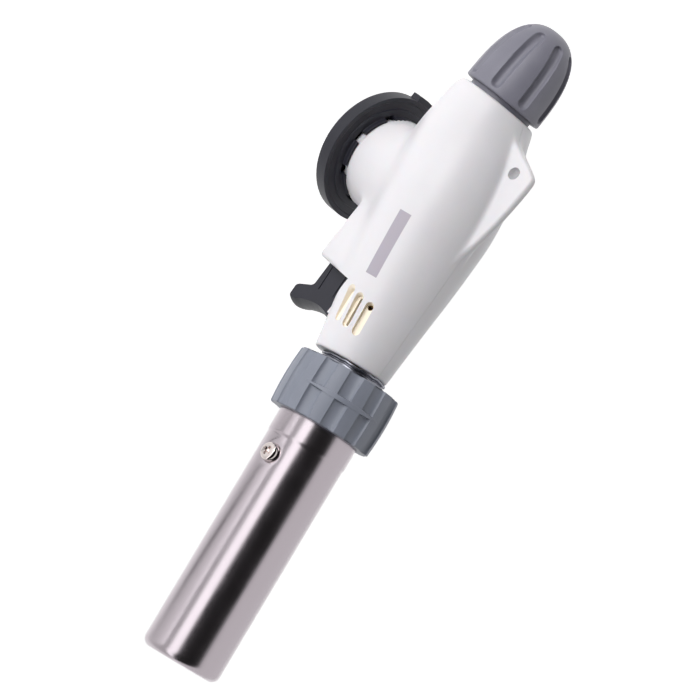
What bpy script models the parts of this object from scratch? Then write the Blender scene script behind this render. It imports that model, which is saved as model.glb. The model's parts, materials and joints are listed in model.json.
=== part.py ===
"""Gas torch head that twists onto a valve canister.

The canister's axis is Z and its shoulder seats at z = 0. The valve spindle and its knob lie along X at the
rear, and the burner tube leaves the front, tilted up. Sizes are millimetres until a mesh is made.
"""

import math

import bmesh
import bpy
from mathutils import Matrix, Vector

MM = 0.001
GAP = 0.3                  # clearance between pieces that touch
WALL = 1.6                 # wall of the moulded shell
STEPS = 32                 # sides of a turned piece
SHARP = 40                 # degrees: an edge over this angle stays sharp

# Shell
BARREL = ((-33, 12.2), (-25, 14.5), (-18, 16.5), (-9, 17.7), (0, 17.9), (10, 17.0), (20, 15.8), (30, 14.4),
          (40, 13.1), (58, 10.8))                       # station along X and radius
BARREL_Z = 34.1            # height of the barrel's centre line over the canister axis
BARREL_SLOPE = 0.218
SKIRT_REAR, SKIRT_FRONT, SKIRT_HALF, SKIRT_BOTTOM = -31.0, 32.2, 9.0, 16.3
BOSS_RADIUS, BOSS_BOTTOM = 14.5, 6.8
NECK_RADIUS, NECK_BORE, NECK_BOTTOM = 13.1, 12.2, 3.6
TAB_HALF, TAB_HOLE, TAB_HOLE_X, TAB_HOLE_Z = 1.6, 1.9, -20.0, 49.5
SLOT_LENGTH, SLOT_WIDTH, SLOT_X = 10.8, 2.0, 38.3
SLOT_ANGLES = (28.5, 11.0, -5.7)                        # degrees round the barrel from its side
SHELL_SCREWS = ((-21.0, 40.0), (6.0, 46.0), (19.0, 35.3))
POST_RADIUS = 3.0

# Canister coupling
RING_RADIUS, RING_HEIGHT, RING_RIM_RADIUS, RING_RIM_TOP = 20.0, 4.4, 14.3, 6.2
NOTCHES, NOTCH_TURN, NOTCH_WIDTH = 8, -50.0, 3.0
HUB_SCREW_CIRCLE, HUB_SCREW_TURN = 7.4, 30.0
BASE_RADIUS, BASE_BOTTOM, BASE_TOP = 11.8, 3.4, 8.5

# Valve and knob
VALVE_Z = 26.8
KNOB_BASE, KNOB_TIP, KNOB_RADIUS = -34.4, -59.4, 12.8
KNOB_GROOVES, GROOVE_RADIUS = 8, 1.25
SPINDLE_RADIUS = 1.7

# Burner, along its own tilted axis
TUBE_X, TUBE_Z, TUBE_TILT = 52.0, 47.7, 11.0
TUBE_RADIUS, TUBE_WALL, TUBE_REAR, TUBE_MOUTH, LIP_RADIUS = 12.05, 0.6, 1.6, 95.3, 2.5
SHELL_FRONT = -1.4
COLLAR_REAR, COLLAR_FRONT, COLLAR_END_RADIUS, COLLAR_MID_RADIUS = 1.1, 18.6, 16.1, 16.55
FLUTES, FLUTE_DEPTH = 12, 0.55
TUBE_SCREW = 31.8          # station of the two screws that hold the tube
PORT_STATION, PORT_RADIUS = 11.0, 2.5
ELECTRODE_SIDE = 8.9       # how far the electrode lies below the tube's axis

# Igniter and trigger
PIEZO_Z = 24.2
TRIGGER_HALF = 4.5
TRIGGER_PLAY = 0.4

ALONG_X = Matrix.Translation((0, 0, VALVE_Z * MM)) @ Matrix.Rotation(math.radians(90), 4, "Y")
ALONG_TUBE = Matrix.Translation((TUBE_X * MM, 0, TUBE_Z * MM)) @ Matrix.Rotation(
    math.radians(90 - TUBE_TILT), 4, "Y")
ALONG_PLUNGER = Matrix.Translation((0, 0, (PIEZO_Z - VALVE_Z) * MM)) @ ALONG_X
ALONG_Z = Matrix.Identity(4)
UPRIGHT = Matrix.Rotation(math.radians(90), 4, "X")     # a flat outline's Y becomes the world's Z


# ---------------------------------------------------------------- scene and helpers

def clear_scene():
    for obj in list(bpy.data.objects):
        bpy.data.objects.remove(obj)


def collection(name):
    made = bpy.data.collections.new(name)
    bpy.context.scene.collection.children.link(made)
    return made


def material(name, colour, roughness, metallic=0.0):
    made = bpy.data.materials.new(name)
    made.use_nodes = True
    shader = made.node_tree.nodes["Principled BSDF"]
    shader.inputs["Base Color"].default_value = (*colour, 1)
    shader.inputs["Roughness"].default_value = roughness
    shader.inputs["Metallic"].default_value = metallic
    return made


def add(name, mesh, place=ALONG_Z):
    """A new piece, linked to the object's collection."""
    obj = bpy.data.objects.new(name, mesh)
    obj.matrix_world = place
    PARTS.objects.link(obj)
    return obj


def helper(obj):
    """Moves a piece to the cutters, which aren't part of the object."""
    if obj.name in PARTS.objects:
        PARTS.objects.unlink(obj)
        CUTTERS.objects.link(obj)
    obj.hide_render = True
    obj.display_type = "WIRE"
    return obj


def solid(name, build, place=ALONG_Z):
    mesh = bpy.data.meshes.new(name)
    shape = bmesh.new()
    build(shape)
    for vertex in shape.verts:
        vertex.co *= MM
    shape.to_mesh(mesh)
    shape.free()
    return add(name, mesh, place)


def rod(name, radius, low, high, place=ALONG_Z, at=(0, 0), tip=None, sides=24):
    """A cylinder or cone along the place's own Z axis, from low to high."""
    def build(shape):
        bmesh.ops.create_cone(shape, cap_ends=True, segments=sides, radius1=radius,
                              radius2=radius if tip is None else tip, depth=high - low,
                              matrix=Matrix.Translation((at[0], at[1], (low + high) / 2)))
    return solid(name, build, place)


def box(name, low, high, place=ALONG_Z):
    middle = [(a + b) / 2 for a, b in zip(low, high)]
    size = [b - a for a, b in zip(low, high)]

    def build(shape):
        bmesh.ops.create_cube(shape, size=1, matrix=Matrix.Translation(middle) @ Matrix.Diagonal((*size, 1)))
    return solid(name, build, place)


def turned(name, profile, place=ALONG_Z, steps=STEPS, closed=True):
    """A profile of (radius, height) turned about the place's Z axis, listed down its outer side."""
    mesh = bpy.data.meshes.new(name)
    count = len(profile)
    edges = [(i, i + 1) for i in range(count - 1)] + ([(count - 1, 0)] if closed else [])
    mesh.from_pydata([(radius * MM, 0, height * MM) for radius, height in profile], edges, [])
    obj = add(name, mesh, place)
    screw = obj.modifiers.new("Screw", "SCREW")
    screw.steps = screw.render_steps = steps
    screw.use_merge_vertices = True
    screw.merge_threshold = 0.00001
    screw.use_smooth_shade = False
    return obj


def arc(centre, radius, first, last, count):
    """Points round a centre, from one angle to another in degrees."""
    angles = [math.radians(first + (last - first) * i / (count - 1)) for i in range(count)]
    return [(centre[0] + radius * math.cos(a), centre[1] + radius * math.sin(a)) for a in angles]


def to_mesh(obj):
    """A curve made a mesh, its caps welded."""
    bpy.context.view_layer.update()
    graph = bpy.context.evaluated_depsgraph_get()
    mesh = bpy.data.meshes.new_from_object(obj.evaluated_get(graph))
    shape = bmesh.new()
    shape.from_mesh(mesh)
    bmesh.ops.remove_doubles(shape, verts=shape.verts, dist=0.000001)
    bmesh.ops.recalc_face_normals(shape, faces=shape.faces)
    shape.to_mesh(mesh)
    shape.free()
    name, place = obj.name, obj.matrix_world.copy()
    bpy.data.objects.remove(obj)
    return add(name, mesh, place)


def slab(name, outline, half, place=ALONG_Z):
    """A flat outline in the place's own XY plane, with thickness both ways."""
    curve = bpy.data.curves.new(name, "CURVE")
    curve.dimensions = "2D"
    curve.fill_mode = "BOTH"
    curve.extrude = half * MM
    line = curve.splines.new("POLY")
    line.points.add(len(outline) - 1)
    for point, (x, y) in zip(line.points, outline):
        point.co = (x * MM, y * MM, 0, 1)
    line.use_cyclic_u = True
    return to_mesh(add(name, curve, place))


def wire(name, points, radius, place=ALONG_Z, resolution=2):
    """A round rod or wire through points, with filled caps."""
    curve = bpy.data.curves.new(name, "CURVE")
    curve.dimensions = "3D"
    curve.bevel_depth = radius * MM
    curve.bevel_resolution = resolution
    curve.use_fill_caps = True
    line = curve.splines.new("POLY")
    line.points.add(len(points) - 1)
    for point, co in zip(line.points, points):
        point.co = (co[0] * MM, co[1] * MM, co[2] * MM, 1)
    return add(name, curve, place)


def combine(obj, operation, *others):
    for other in others:
        modifier = obj.modifiers.new(other.name, "BOOLEAN")
        modifier.operation = operation
        modifier.solver = "EXACT"
        modifier.object = other
        helper(other)
    return obj


def cut(obj, *others):
    return combine(obj, "DIFFERENCE", *others)


def join(obj, *others):
    return combine(obj, "UNION", *others)


def applied(obj):
    """The piece with its modifiers made real, in world space."""
    bpy.context.view_layer.update()
    graph = bpy.context.evaluated_depsgraph_get()
    mesh = bpy.data.meshes.new_from_object(obj.evaluated_get(graph))
    mesh.transform(obj.matrix_world)
    name = obj.name
    bpy.data.objects.remove(obj)
    return add(name, mesh)


def turn(obj, degrees):
    """Turns a piece about its place's own Z axis."""
    obj.matrix_world = obj.matrix_world @ Matrix.Rotation(math.radians(degrees), 4, "Z")
    return obj


def hexagon(name, across_flats, low, high, place):
    return rod(name, across_flats / math.sqrt(3), low, high, place, sides=6)


def finish(obj, surface):
    """Shades the piece smooth, except over edges sharper than SHARP, and gives it its material."""
    if obj.type == "MESH":
        obj.data.shade_smooth()
        obj.data.set_sharp_from_angle(angle=math.radians(SHARP))
    obj.data.materials.clear()
    obj.data.materials.append(surface)
    return obj


# ---------------------------------------------------------------- shell

def barrel_radius(x):
    """Catmull-Rom curve through the barrel's stations."""
    last = len(BARREL) - 1
    i = max(k for k in range(last) if BARREL[k][0] <= x or k == 0)
    x0, r0 = BARREL[i]
    x1, r1 = BARREL[i + 1]

    def slope(k):
        low, high = BARREL[max(k - 1, 0)], BARREL[min(k + 1, last)]
        return (high[1] - low[1]) / (high[0] - low[0])
    span = x1 - x0
    t = (x - x0) / span
    return ((2 * t**3 - 3 * t**2 + 1) * r0 + (t**3 - 2 * t**2 + t) * span * slope(i)
            + (3 * t**2 - 2 * t**3) * r1 + (t**3 - t**2) * span * slope(i + 1))


def barrel_z(x):
    return BARREL_Z + BARREL_SLOPE * x


def barrel(name, inset, first, last, stations=16, sides=36):
    """A round loft along X whose radius follows the stations, less an inset."""
    def build(shape):
        rings = []
        for i in range(stations):
            x = first + (last - first) * i / (stations - 1)
            radius = barrel_radius(x) - inset
            angles = [2 * math.pi * (k + 0.5) / sides for k in range(sides)]
            rings.append([shape.verts.new((x, radius * math.cos(a), barrel_z(x) + radius * math.sin(a)))
                          for a in angles])
        for low, high in zip(rings, rings[1:]):
            for k in range(sides):
                n = (k + 1) % sides
                shape.faces.new((low[k], low[n], high[n], high[k]))
        shape.faces.new(rings[0])
        shape.faces.new(rings[-1])
        bmesh.ops.recalc_face_normals(shape, faces=shape.faces)
    return solid(name, build)


def tab_outline():
    """The hang tab's side: a steep rear edge, a rounded apex and a long ridge down to the barrel."""
    apex = arc((-20.6, 54.1), 1.6, 155, 80, 5)
    return [(-27.6, 41.6), *apex, (-12.9, 56.0), (-3.0, 55.2), (8.0, 53.0), (9.0, 47.0), (-26.0, 37.0)]


def stadium(length, width, sides=6):
    half = length / 2 - width / 2
    return arc((half, 0), width / 2, -90, 90, sides) + arc((-half, 0), width / 2, 90, 270, sides)


def vent_slots(side):
    """Cutters for the vents on one side: -1 is near, 1 is far."""
    made = []
    radius = barrel_radius(SLOT_X)
    for number, angle in enumerate(SLOT_ANGLES):
        a = math.radians(angle)
        outward = Vector((0, side * math.cos(a), math.sin(a)))
        along = Vector((math.cos(math.radians(TUBE_TILT)), 0, math.sin(math.radians(TUBE_TILT))))
        sideways = outward.cross(along).normalized()
        along = sideways.cross(outward).normalized()
        axes = Matrix((along, sideways, outward)).transposed().to_4x4()
        centre = Vector((SLOT_X, 0, barrel_z(SLOT_X))) + outward * (radius - 1.0)
        made.append(slab(f"vent_{side}_{number}", stadium(SLOT_LENGTH, SLOT_WIDTH), 3.0,
                         Matrix.Translation(centre * MM) @ axes))
    return made


def across(x, z):
    """A place at x, z whose own Z axis points to the far side, +Y."""
    return Matrix.Translation((x * MM, 0, z * MM)) @ Matrix.Rotation(math.radians(-90), 4, "X")


def make_shells(surface):
    outer = barrel("shell_outside", 0, BARREL[0][0], 55.0)
    skirt = box("skirt", (SKIRT_REAR, -SKIRT_HALF, SKIRT_BOTTOM), (SKIRT_FRONT, SKIRT_HALF, 30.0))
    tab = slab("tab", tab_outline(), TAB_HALF, UPRIGHT)
    boss = turn(rod("boss", BOSS_RADIUS, BOSS_BOTTOM, 30.0, sides=48), 360 / 96)
    neck = turn(rod("neck", NECK_RADIUS, NECK_BOTTOM, 12.0, sides=48), 360 / 96)
    outside = applied(join(outer, skirt, tab, boss, neck))

    inner = barrel("shell_inside", WALL, BARREL[0][0] + WALL, 57.0)
    skirt_in = box("skirt_inside", (SKIRT_REAR + WALL, -SKIRT_HALF + WALL, SKIRT_BOTTOM + WALL),
                   (SKIRT_FRONT - WALL, SKIRT_HALF - WALL, 30.0))
    neck_in = turn(rod("neck_bore", NECK_BORE, 0.0, 30.0, sides=48), 360 / 96)
    inside = applied(join(inner, skirt_in, neck_in))

    middle_of_wall = barrel("post_limit", WALL / 2, BARREL[0][0], 55.0)
    posts = []
    for number, (x, z) in enumerate(SHELL_SCREWS):
        post = rod(f"post_{number}", POST_RADIUS, -20.0, 20.0, across(x, z), sides=16)
        posts.append(applied(combine(post, "INTERSECT", middle_of_wall)))
    front = box("front_trim", (-25, -25, SHELL_FRONT), (25, 25, 25), ALONG_TUBE)
    rear = rod("neck_opening", 10.9, -40.0, -29.0, ALONG_X, sides=48)
    half_window = TRIGGER_HALF + TRIGGER_PLAY
    window = box("trigger_window", (30.0, -half_window, 10.0), (49.0, half_window, 32.0))
    hole = rod("tab_hole", TAB_HOLE, -6.0, 6.0, across(TAB_HOLE_X, TAB_HOLE_Z), sides=20)
    common = (front, rear, window, hole)
    for cutter in (inside, outside, *posts, *common):
        helper(cutter)

    for name, side in (("body_shell_near", -1), ("body_shell_far", 1)):
        shell = add(name, outside.data.copy())
        cut(shell, inside)
        join(shell, *posts)
        cut(shell, *common, *vent_slots(side))
        for number, (x, z) in enumerate(SHELL_SCREWS):
            cut(shell, rod(f"pilot_{number}{name[11:]}", 1.4, -5.4, 6.0, across(x, z), sides=12))
            if side > 0:
                cut(shell, rod(f"counterbore_{number}", 2.8, 5.4, 25.0, across(x, z), sides=20))
        reach = sorted((0, -side * 40))
        other_half = box("other" + name[10:], (-80, reach[0], -20), (80, reach[1], 90))
        other_half.location.y = side * GAP / 2 * MM
        cut(shell, other_half)
        finish(shell, surface)


def make_shell_screws(surface):
    for number, (x, z) in enumerate(SHELL_SCREWS):
        screw = turned(f"shell_screw_{number + 1}", [
            (0, 7.6), (1.2, 7.5), (2.1, 7.0), (2.4, 6.3), (2.4, 5.7), (1.1, 5.7), (1.1, -4.2), (0, -5.0),
        ], across(x, z), steps=16, closed=False)
        finish(screw, surface)


# ---------------------------------------------------------------- canister coupling

def hub_screw_holes(obj, low, high):
    """Cuts the clearance holes of the three hub screws."""
    for number in range(3):
        hole = rod(f"{obj.name}_hole_{number}", 1.3, low, high, at=(HUB_SCREW_CIRCLE, 0), sides=12)
        cut(obj, turn(hole, HUB_SCREW_TURN + 120 * number))


def make_ring(surface):
    ring = turned("canister_ring", [
        (19.7, RING_HEIGHT), (RING_RADIUS, RING_HEIGHT - 0.3), (RING_RADIUS, 0.3), (19.7, 0), (18.2, 0),
        (18.2, 1.0), (6.5, 1.0), (6.5, 3.0), (13.4, 3.0), (13.4, RING_RIM_TOP), (RING_RIM_RADIUS, RING_RIM_TOP),
        (RING_RIM_RADIUS, RING_HEIGHT),
    ], steps=48)
    join(ring, box("ring_lug", (-21.8, -3.4, 0.9), (-19.0, 3.4, 4.0)))
    for number in range(NOTCHES):
        notch = box(f"ring_notch_{number}", (12.9, -NOTCH_WIDTH / 2, 3.4), (15.0, NOTCH_WIDTH / 2, 8.0))
        cut(ring, turn(notch, NOTCH_TURN + 360 * number / NOTCHES))
    hub_screw_holes(ring, 0.0, 4.0)
    finish(ring, surface)


def make_bayonet_plate(surface):
    plate = turned("bayonet_plate", [
        (10.6, 0.7), (10.6, -3.8), (9.6, -3.8), (9.6, -0.3), (5.2, -0.3), (5.2, 0.7),
    ], steps=32)
    for number in range(3):
        lug = box(f"bayonet_lug_{number}", (10.1, -3.5, -3.8), (12.4, 3.5, -2.6))
        join(plate, turn(lug, 90 + 120 * number))
    hub_screw_holes(plate, -1.0, 2.0)
    finish(plate, surface)


def make_hub_screws(surface):
    for number in range(3):
        angle = math.radians(HUB_SCREW_TURN + 120 * number)
        place = Matrix.Translation((HUB_SCREW_CIRCLE * math.cos(angle) * MM,
                                    HUB_SCREW_CIRCLE * math.sin(angle) * MM, 0))
        screw = turned(f"hub_screw_{number + 1}", [
            (0, 7.4), (1.0, 6.8), (1.0, -0.6), (1.9, -0.6), (1.9, -1.3), (1.4, -1.8), (0, -1.9),
        ], place, steps=16, closed=False)
        finish(screw, surface)


def make_inlet(brass, rubber):
    nipple = turned("inlet_nipple", [
        (3.0, 15.4), (3.0, 3.1), (4.6, 3.1), (4.6, 0.4), (1.9, 0.4), (1.9, -5.9), (1.3, -6.5), (0.6, -6.5),
        (0.6, 15.4),
    ], steps=24)
    finish(nipple, brass)
    seal = turned("inlet_seal", [
        (4.1, 0.1), (4.4, -0.2), (4.4, -1.3), (4.1, -1.6), (2.5, -1.6), (2.2, -1.3), (2.2, -0.2), (2.5, 0.1),
    ], steps=24)
    finish(seal, rubber)


# ---------------------------------------------------------------- valve and knob

def make_valve_body(surface):
    """A casting: round base in the shell's neck, a column, and a chamber along X for the spindle."""
    body = rod("valve_body", BASE_RADIUS, BASE_BOTTOM, BASE_TOP, sides=40)
    join(body, rod("column", 6.5, 7.0, 42.0, sides=32), rod("chamber", 6.0, -19.0, 6.0, ALONG_X, sides=32))
    cut(body, rod("gland_bore", 4.0, -25.0, -9.0, ALONG_X), rod("needle_bore", 2.0, -10.0, 1.8, ALONG_X),
        rod("seat_bore", 0.9, 0.0, 4.0, ALONG_X, sides=12), rod("nipple_bore", 3.3, 0.0, 16.0),
        rod("inlet_bore", 1.2, 14.0, VALVE_Z, sides=12))
    rise = rod("outlet_rise", 1.2, VALVE_Z - 1.0, 38.6, at=(4.0, 0), sides=12)
    cut(body, rise, rod("tube_socket", 1.9, -49.0, -40.0, ALONG_TUBE, sides=16))
    hub_screw_holes(body, 2.0, 7.9)
    finish(body, surface)


def make_spindle(brass, steel, rubber):
    gland = hexagon("gland_nut", 11.0, -23.5, -19.3, ALONG_X)
    join(gland, rod("gland_spigot", 3.6, -20.0, -13.6, ALONG_X))
    cut(gland, rod("gland_hole", 2.1, -30.0, -10.0, ALONG_X, sides=16))
    finish(gland, brass)
    spindle = turned("valve_spindle", [
        (0, -9.3), (1.4, -9.3), (SPINDLE_RADIUS, -9.6), (SPINDLE_RADIUS, -11.6), (3.4, -11.6), (3.4, -13.2),
        (SPINDLE_RADIUS, -13.2), (SPINDLE_RADIUS, -43.7), (1.4, -44.0), (0, -44.0),
    ], ALONG_X, steps=16, closed=False)
    finish(spindle, steel)
    needle = turned("valve_needle", [
        (0, 1.6), (0.4, 1.6), (1.6, -0.4), (1.6, -8.0), (0, -8.0),
    ], ALONG_X, steps=16, closed=False)
    finish(needle, steel)
    ring = turned("spindle_o_ring", list(reversed(arc((2.75, -10.2), 0.75, 0, 315, 8))), ALONG_X, steps=16)
    finish(ring, rubber)


def knob_profile():
    """(radius, x) from the base to the tip: a bullet whose nose closes on a small rounded end."""
    length = KNOB_BASE - KNOB_TIP
    points = [(KNOB_RADIUS - 0.4, KNOB_BASE), (KNOB_RADIUS, KNOB_BASE - 0.4)]
    for share in (0.15, 0.3, 0.45, 0.6, 0.72, 0.82, 0.9, 0.95, 0.985):
        points.append((KNOB_RADIUS * (1 - share**2.8)**0.42, KNOB_BASE - share * length))
    return points + [(0, KNOB_TIP)]


def make_knob(surface):
    knob = turned("flow_knob", [
        (0, -44.6), (2.0, -44.6), (2.0, -33.0), (4.2, -33.0), (4.2, -46.0), (9.0, -46.0), (9.0, -31.2),
        (10.4, -31.2), (10.4, KNOB_BASE), *knob_profile(),
    ], ALONG_X, steps=32, closed=False)
    path = [(radius + GROOVE_RADIUS - 0.75, 0, x) for radius, x in knob_profile()[2:-4]]
    for number in range(KNOB_GROOVES):
        groove = to_mesh(wire(f"knob_groove_{number}", path, GROOVE_RADIUS, ALONG_X.copy(), resolution=1))
        cut(knob, turn(groove, 22.5 + 360 * number / KNOB_GROOVES))
    finish(knob, surface)


# ---------------------------------------------------------------- burner

def make_gas_way(copper, brass):
    tube = turned("gas_tube", [(1.6, -31.4), (1.6, -44.5), (0.9, -44.5), (0.9, -31.4)], ALONG_TUBE, steps=16)
    finish(tube, copper)
    jet = hexagon("jet_nozzle", 7.0, -31.1, -27.3, ALONG_TUBE)
    join(jet, rod("jet_shank", 2.0, -28.0, -18.0, ALONG_TUBE, sides=16),
         rod("jet_tip", 2.0, -18.5, -15.0, ALONG_TUBE, tip=0.9, sides=16))
    cut(jet, rod("jet_hole", 0.4, -32.0, -14.0, ALONG_TUBE, sides=8))
    finish(jet, brass)


def make_manifold(surface):
    manifold = turned("burner_manifold", [
        (11.1, 6.0), (11.1, 0.8), (10.1, 0.8), (10.1, -1.1), (7.0, -1.1), (7.0, -27.0), (2.3, -27.0),
        (2.3, -24.5), (5.4, -24.5), (5.4, 6.0),
    ], ALONG_TUBE, steps=32)
    cut(manifold, box("air_port_across", (-2.2, -9, -18), (2.2, 9, -8), ALONG_TUBE),
        box("air_port_up", (-9, -2.2, -18), (9, 2.2, -8), ALONG_TUBE),
        rod("insulator_hole", 1.9, -3.0, 8.0, ALONG_TUBE, at=(ELECTRODE_SIDE, 0), sides=16))
    finish(manifold, surface)


def make_burner(steel, head_metal):
    mixing = turned("mixing_tube", [(6.0, 30.7), (6.0, 6.3), (5.2, 6.3), (5.2, 30.7)], ALONG_TUBE)
    finish(mixing, steel)
    head = turned("flame_holder", [
        (11.1, 34.0), (11.1, 26.0), (6.3, 26.0), (6.3, 31.0), (4.6, 31.0), (4.6, 34.0),
    ], ALONG_TUBE, steps=32)
    for number in range(10):
        wide = 1.3 if number == 0 else 0.8
        hole = rod(f"flame_hole_{number}", wide, 20.0, 40.0, ALONG_TUBE, at=(ELECTRODE_SIDE, 0), sides=10)
        cut(head, turn(hole, 36 * number))
    cut(head, rod("head_screw_hole", 1.3, -20.0, 20.0, tube_cross(), sides=10))
    finish(head, head_metal)

    outer_arc = arc((TUBE_RADIUS - LIP_RADIUS, TUBE_MOUTH - LIP_RADIUS), LIP_RADIUS, 90, 0, 6)
    inner_arc = arc((TUBE_RADIUS - LIP_RADIUS, TUBE_MOUTH - LIP_RADIUS), LIP_RADIUS - TUBE_WALL, 0, 90, 6)
    bore = TUBE_RADIUS - TUBE_WALL
    tube = turned("burner_tube", [
        (9.0, TUBE_MOUTH), *outer_arc, (TUBE_RADIUS, TUBE_REAR), (bore, TUBE_REAR), *inner_arc,
        (9.0, TUBE_MOUTH - TUBE_WALL),
    ], ALONG_TUBE, steps=40)
    for number in range(2):
        port = rod(f"tube_port_{number}", PORT_RADIUS, -20, 20, tube_cross(PORT_STATION), sides=16)
        port.matrix_world = ALONG_TUBE @ Matrix.Rotation(math.radians(45 + 90 * number), 4, "Z") \
            @ ALONG_TUBE.inverted() @ port.matrix_world
        cut(tube, port)
    cut(tube, rod("tube_screw_hole", 1.3, -20.0, 20.0, tube_cross(), sides=12))
    finish(tube, steel)


def tube_cross(along=TUBE_SCREW):
    """A place on the tube's axis whose own Z axis points to the near side, -Y."""
    return ALONG_TUBE @ Matrix.Translation((0, 0, along * MM)) @ Matrix.Rotation(math.radians(90), 4, "X")


def make_tube_screws(surface):
    for name, flip in (("tube_screw_near", 0), ("tube_screw_far", 180)):
        place = tube_cross() @ Matrix.Rotation(math.radians(flip), 4, "X")
        screw = turned(name, [
            (0, 14.3), (1.3, 14.2), (2.3, 13.8), (2.8, 13.1), (2.85, 12.4), (1.0, 12.4), (1.0, 7.5), (0, 7.5),
        ], place, steps=20, closed=False)
        finish(screw, surface)


def make_collar(surface):
    """A fluted, slightly barrelled grip ring, hollow between its two end webs."""
    sides = FLUTES * 6

    def build(shape):
        rings = []
        middle = (COLLAR_REAR + COLLAR_FRONT) / 2
        for i in range(5):
            height = COLLAR_REAR + (COLLAR_FRONT - COLLAR_REAR) * i / 4
            share = (height - middle) / (COLLAR_FRONT - middle)
            radius = COLLAR_MID_RADIUS - (COLLAR_MID_RADIUS - COLLAR_END_RADIUS) * share**2
            ring = []
            for k in range(sides):
                angle = 2 * math.pi * k / sides
                here = radius - FLUTE_DEPTH * abs(math.cos(FLUTES / 2 * angle))
                ring.append(shape.verts.new((here * math.cos(angle), here * math.sin(angle), height)))
            rings.append(ring)
        for low, high in zip(rings, rings[1:]):
            for k in range(sides):
                n = (k + 1) % sides
                shape.faces.new((low[k], low[n], high[n], high[k]))
        shape.faces.new(rings[0])
        shape.faces.new(rings[-1])
        bmesh.ops.recalc_face_normals(shape, faces=shape.faces)

    collar = solid("air_collar", build, ALONG_TUBE)
    hollow = turned("collar_hollow", [
        (0, 30.0), (12.4, 30.0), (12.4, 16.6), (14.3, 16.0), (14.3, 3.6), (12.4, 3.2), (12.4, -10.0),
        (0, -10.0),
    ], ALONG_TUBE, steps=40, closed=False)
    cut(collar, hollow)
    for number in range(6):
        hole = rod(f"collar_air_hole_{number}", 0.8, -3.0, 5.0, ALONG_TUBE, at=(13.4, 0), sides=10)
        cut(collar, turn(hole, 60 * number))
    finish(collar, surface)


# ---------------------------------------------------------------- igniter and trigger

def make_electrode(steel, ceramic, cover):
    insulator = turned("electrode_insulator", [
        (1.2, 9.0), (1.6, 8.6), (1.6, -15.5), (1.2, -16.0), (0.9, -16.0), (0.9, 9.0),
    ], ALONG_TUBE @ Matrix.Translation((ELECTRODE_SIDE * MM, 0, 0)), steps=16)
    finish(insulator, ceramic)
    side = ELECTRODE_SIDE
    bent = [(side, 0, -12), (side, 0, 36), (side - 0.8, 0, 38), (side - 3.0, 0, 40.5)]
    electrode = wire("spark_electrode", bent, 0.55, ALONG_TUBE, resolution=1)
    finish(electrode, steel)
    route = [(8.2, 2.6, 27.0), (8.2, 2.8, 29.0), (9.6, 3.0, 30.3), (12.0, 3.0, 30.8), (16.0, 2.6, 30.9),
             (20.5, 2.0, 31.4), (24.0, 1.6, 32.2), (27.0, 1.0, 32.8), (30.0, 0.6, 33.2), (33.5, 0.2, 33.9),
             (36.0, 0.0, 34.9)]
    lead = wire("ignition_lead", route, 0.75, resolution=1)
    finish(lead, cover)


def make_igniter(case_plastic, plunger_plastic, steel):
    case = box("piezo_case", (9.4, -4.2, PIEZO_Z - 4.2), (24.5, 4.2, PIEZO_Z + 4.2))
    cut(case, rod("piezo_bore", 2.8, 10.4, 30.0, ALONG_PLUNGER))
    finish(case, case_plastic)
    plunger = rod("piezo_plunger", 2.4, 22.5, 41.2, ALONG_PLUNGER, sides=20)
    finish(plunger, plunger_plastic)
    turns, per_turn, first, last = 6, 6, 11.3, 21.6
    coil = []
    for i in range(turns * per_turn + 1):
        angle = 2 * math.pi * i / per_turn
        along = first + (last - first) * i / (turns * per_turn)
        coil.append((1.9 * math.cos(angle), 1.9 * math.sin(angle), along))
    spring = wire("piezo_spring", coil, 0.3, ALONG_PLUNGER, resolution=1)
    finish(spring, steel)


def trigger_outline():
    """The trigger's side: a block, a scooped finger face and a lever tip below."""
    return [(30.8, 28.0), (30.8, 18.3), (40.2, 18.9), (42.7, 13.6), (43.4, 13.2), (46.5, 13.5), (47.2, 14.3),
            (47.1, 15.5), (46.2, 17.5), (45.3, 20.0), (44.6, 22.5), (44.3, 25.0), (44.4, 27.5), (45.0, 30.2),
            (45.0, 31.2), (33.4, 31.2)]


def make_trigger(surface):
    trigger = slab("trigger", trigger_outline(), TRIGGER_HALF, UPRIGHT)
    cut(trigger, rod("trigger_socket", 2.9, 29.0, 41.5, ALONG_PLUNGER))
    finish(trigger, surface)


# ---------------------------------------------------------------- the object

clear_scene()
PARTS = collection("gas_torch_head")
CUTTERS = collection("cutters")

white_abs = material("white ABS", (0.80, 0.79, 0.80), 0.42)
black_nylon = material("black nylon", (0.03, 0.03, 0.04), 0.5)
grey_abs = material("grey ABS", (0.27, 0.27, 0.31), 0.45)
collar_grey = material("collar nylon", (0.26, 0.28, 0.32), 0.5)
stainless = material("stainless steel", (0.62, 0.58, 0.58), 0.18, 1)
zinc = material("zinc casting", (0.35, 0.35, 0.37), 0.35, 1)
brass_metal = material("brass", (0.72, 0.52, 0.25), 0.3, 1)
copper_metal = material("copper", (0.72, 0.38, 0.25), 0.3, 1)
screw_steel = material("nickel plated steel", (0.70, 0.68, 0.65), 0.25, 1)
white_ceramic = material("alumina", (0.85, 0.83, 0.78), 0.5)
red_cover = material("silicone lead", (0.5, 0.05, 0.04), 0.5)
rubber_black = material("nitrile rubber", (0.02, 0.02, 0.02), 0.7)

make_shells(white_abs)
make_shell_screws(screw_steel)
make_ring(black_nylon)
make_bayonet_plate(screw_steel)
make_hub_screws(screw_steel)
make_inlet(brass_metal, rubber_black)
make_valve_body(zinc)
make_spindle(brass_metal, stainless, rubber_black)
make_knob(grey_abs)
make_gas_way(copper_metal, brass_metal)
make_manifold(zinc)
make_burner(stainless, brass_metal)
make_tube_screws(screw_steel)
make_collar(collar_grey)
make_electrode(stainless, white_ceramic, red_cover)
make_igniter(black_nylon, white_abs, stainless)
make_trigger(black_nylon)
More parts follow.
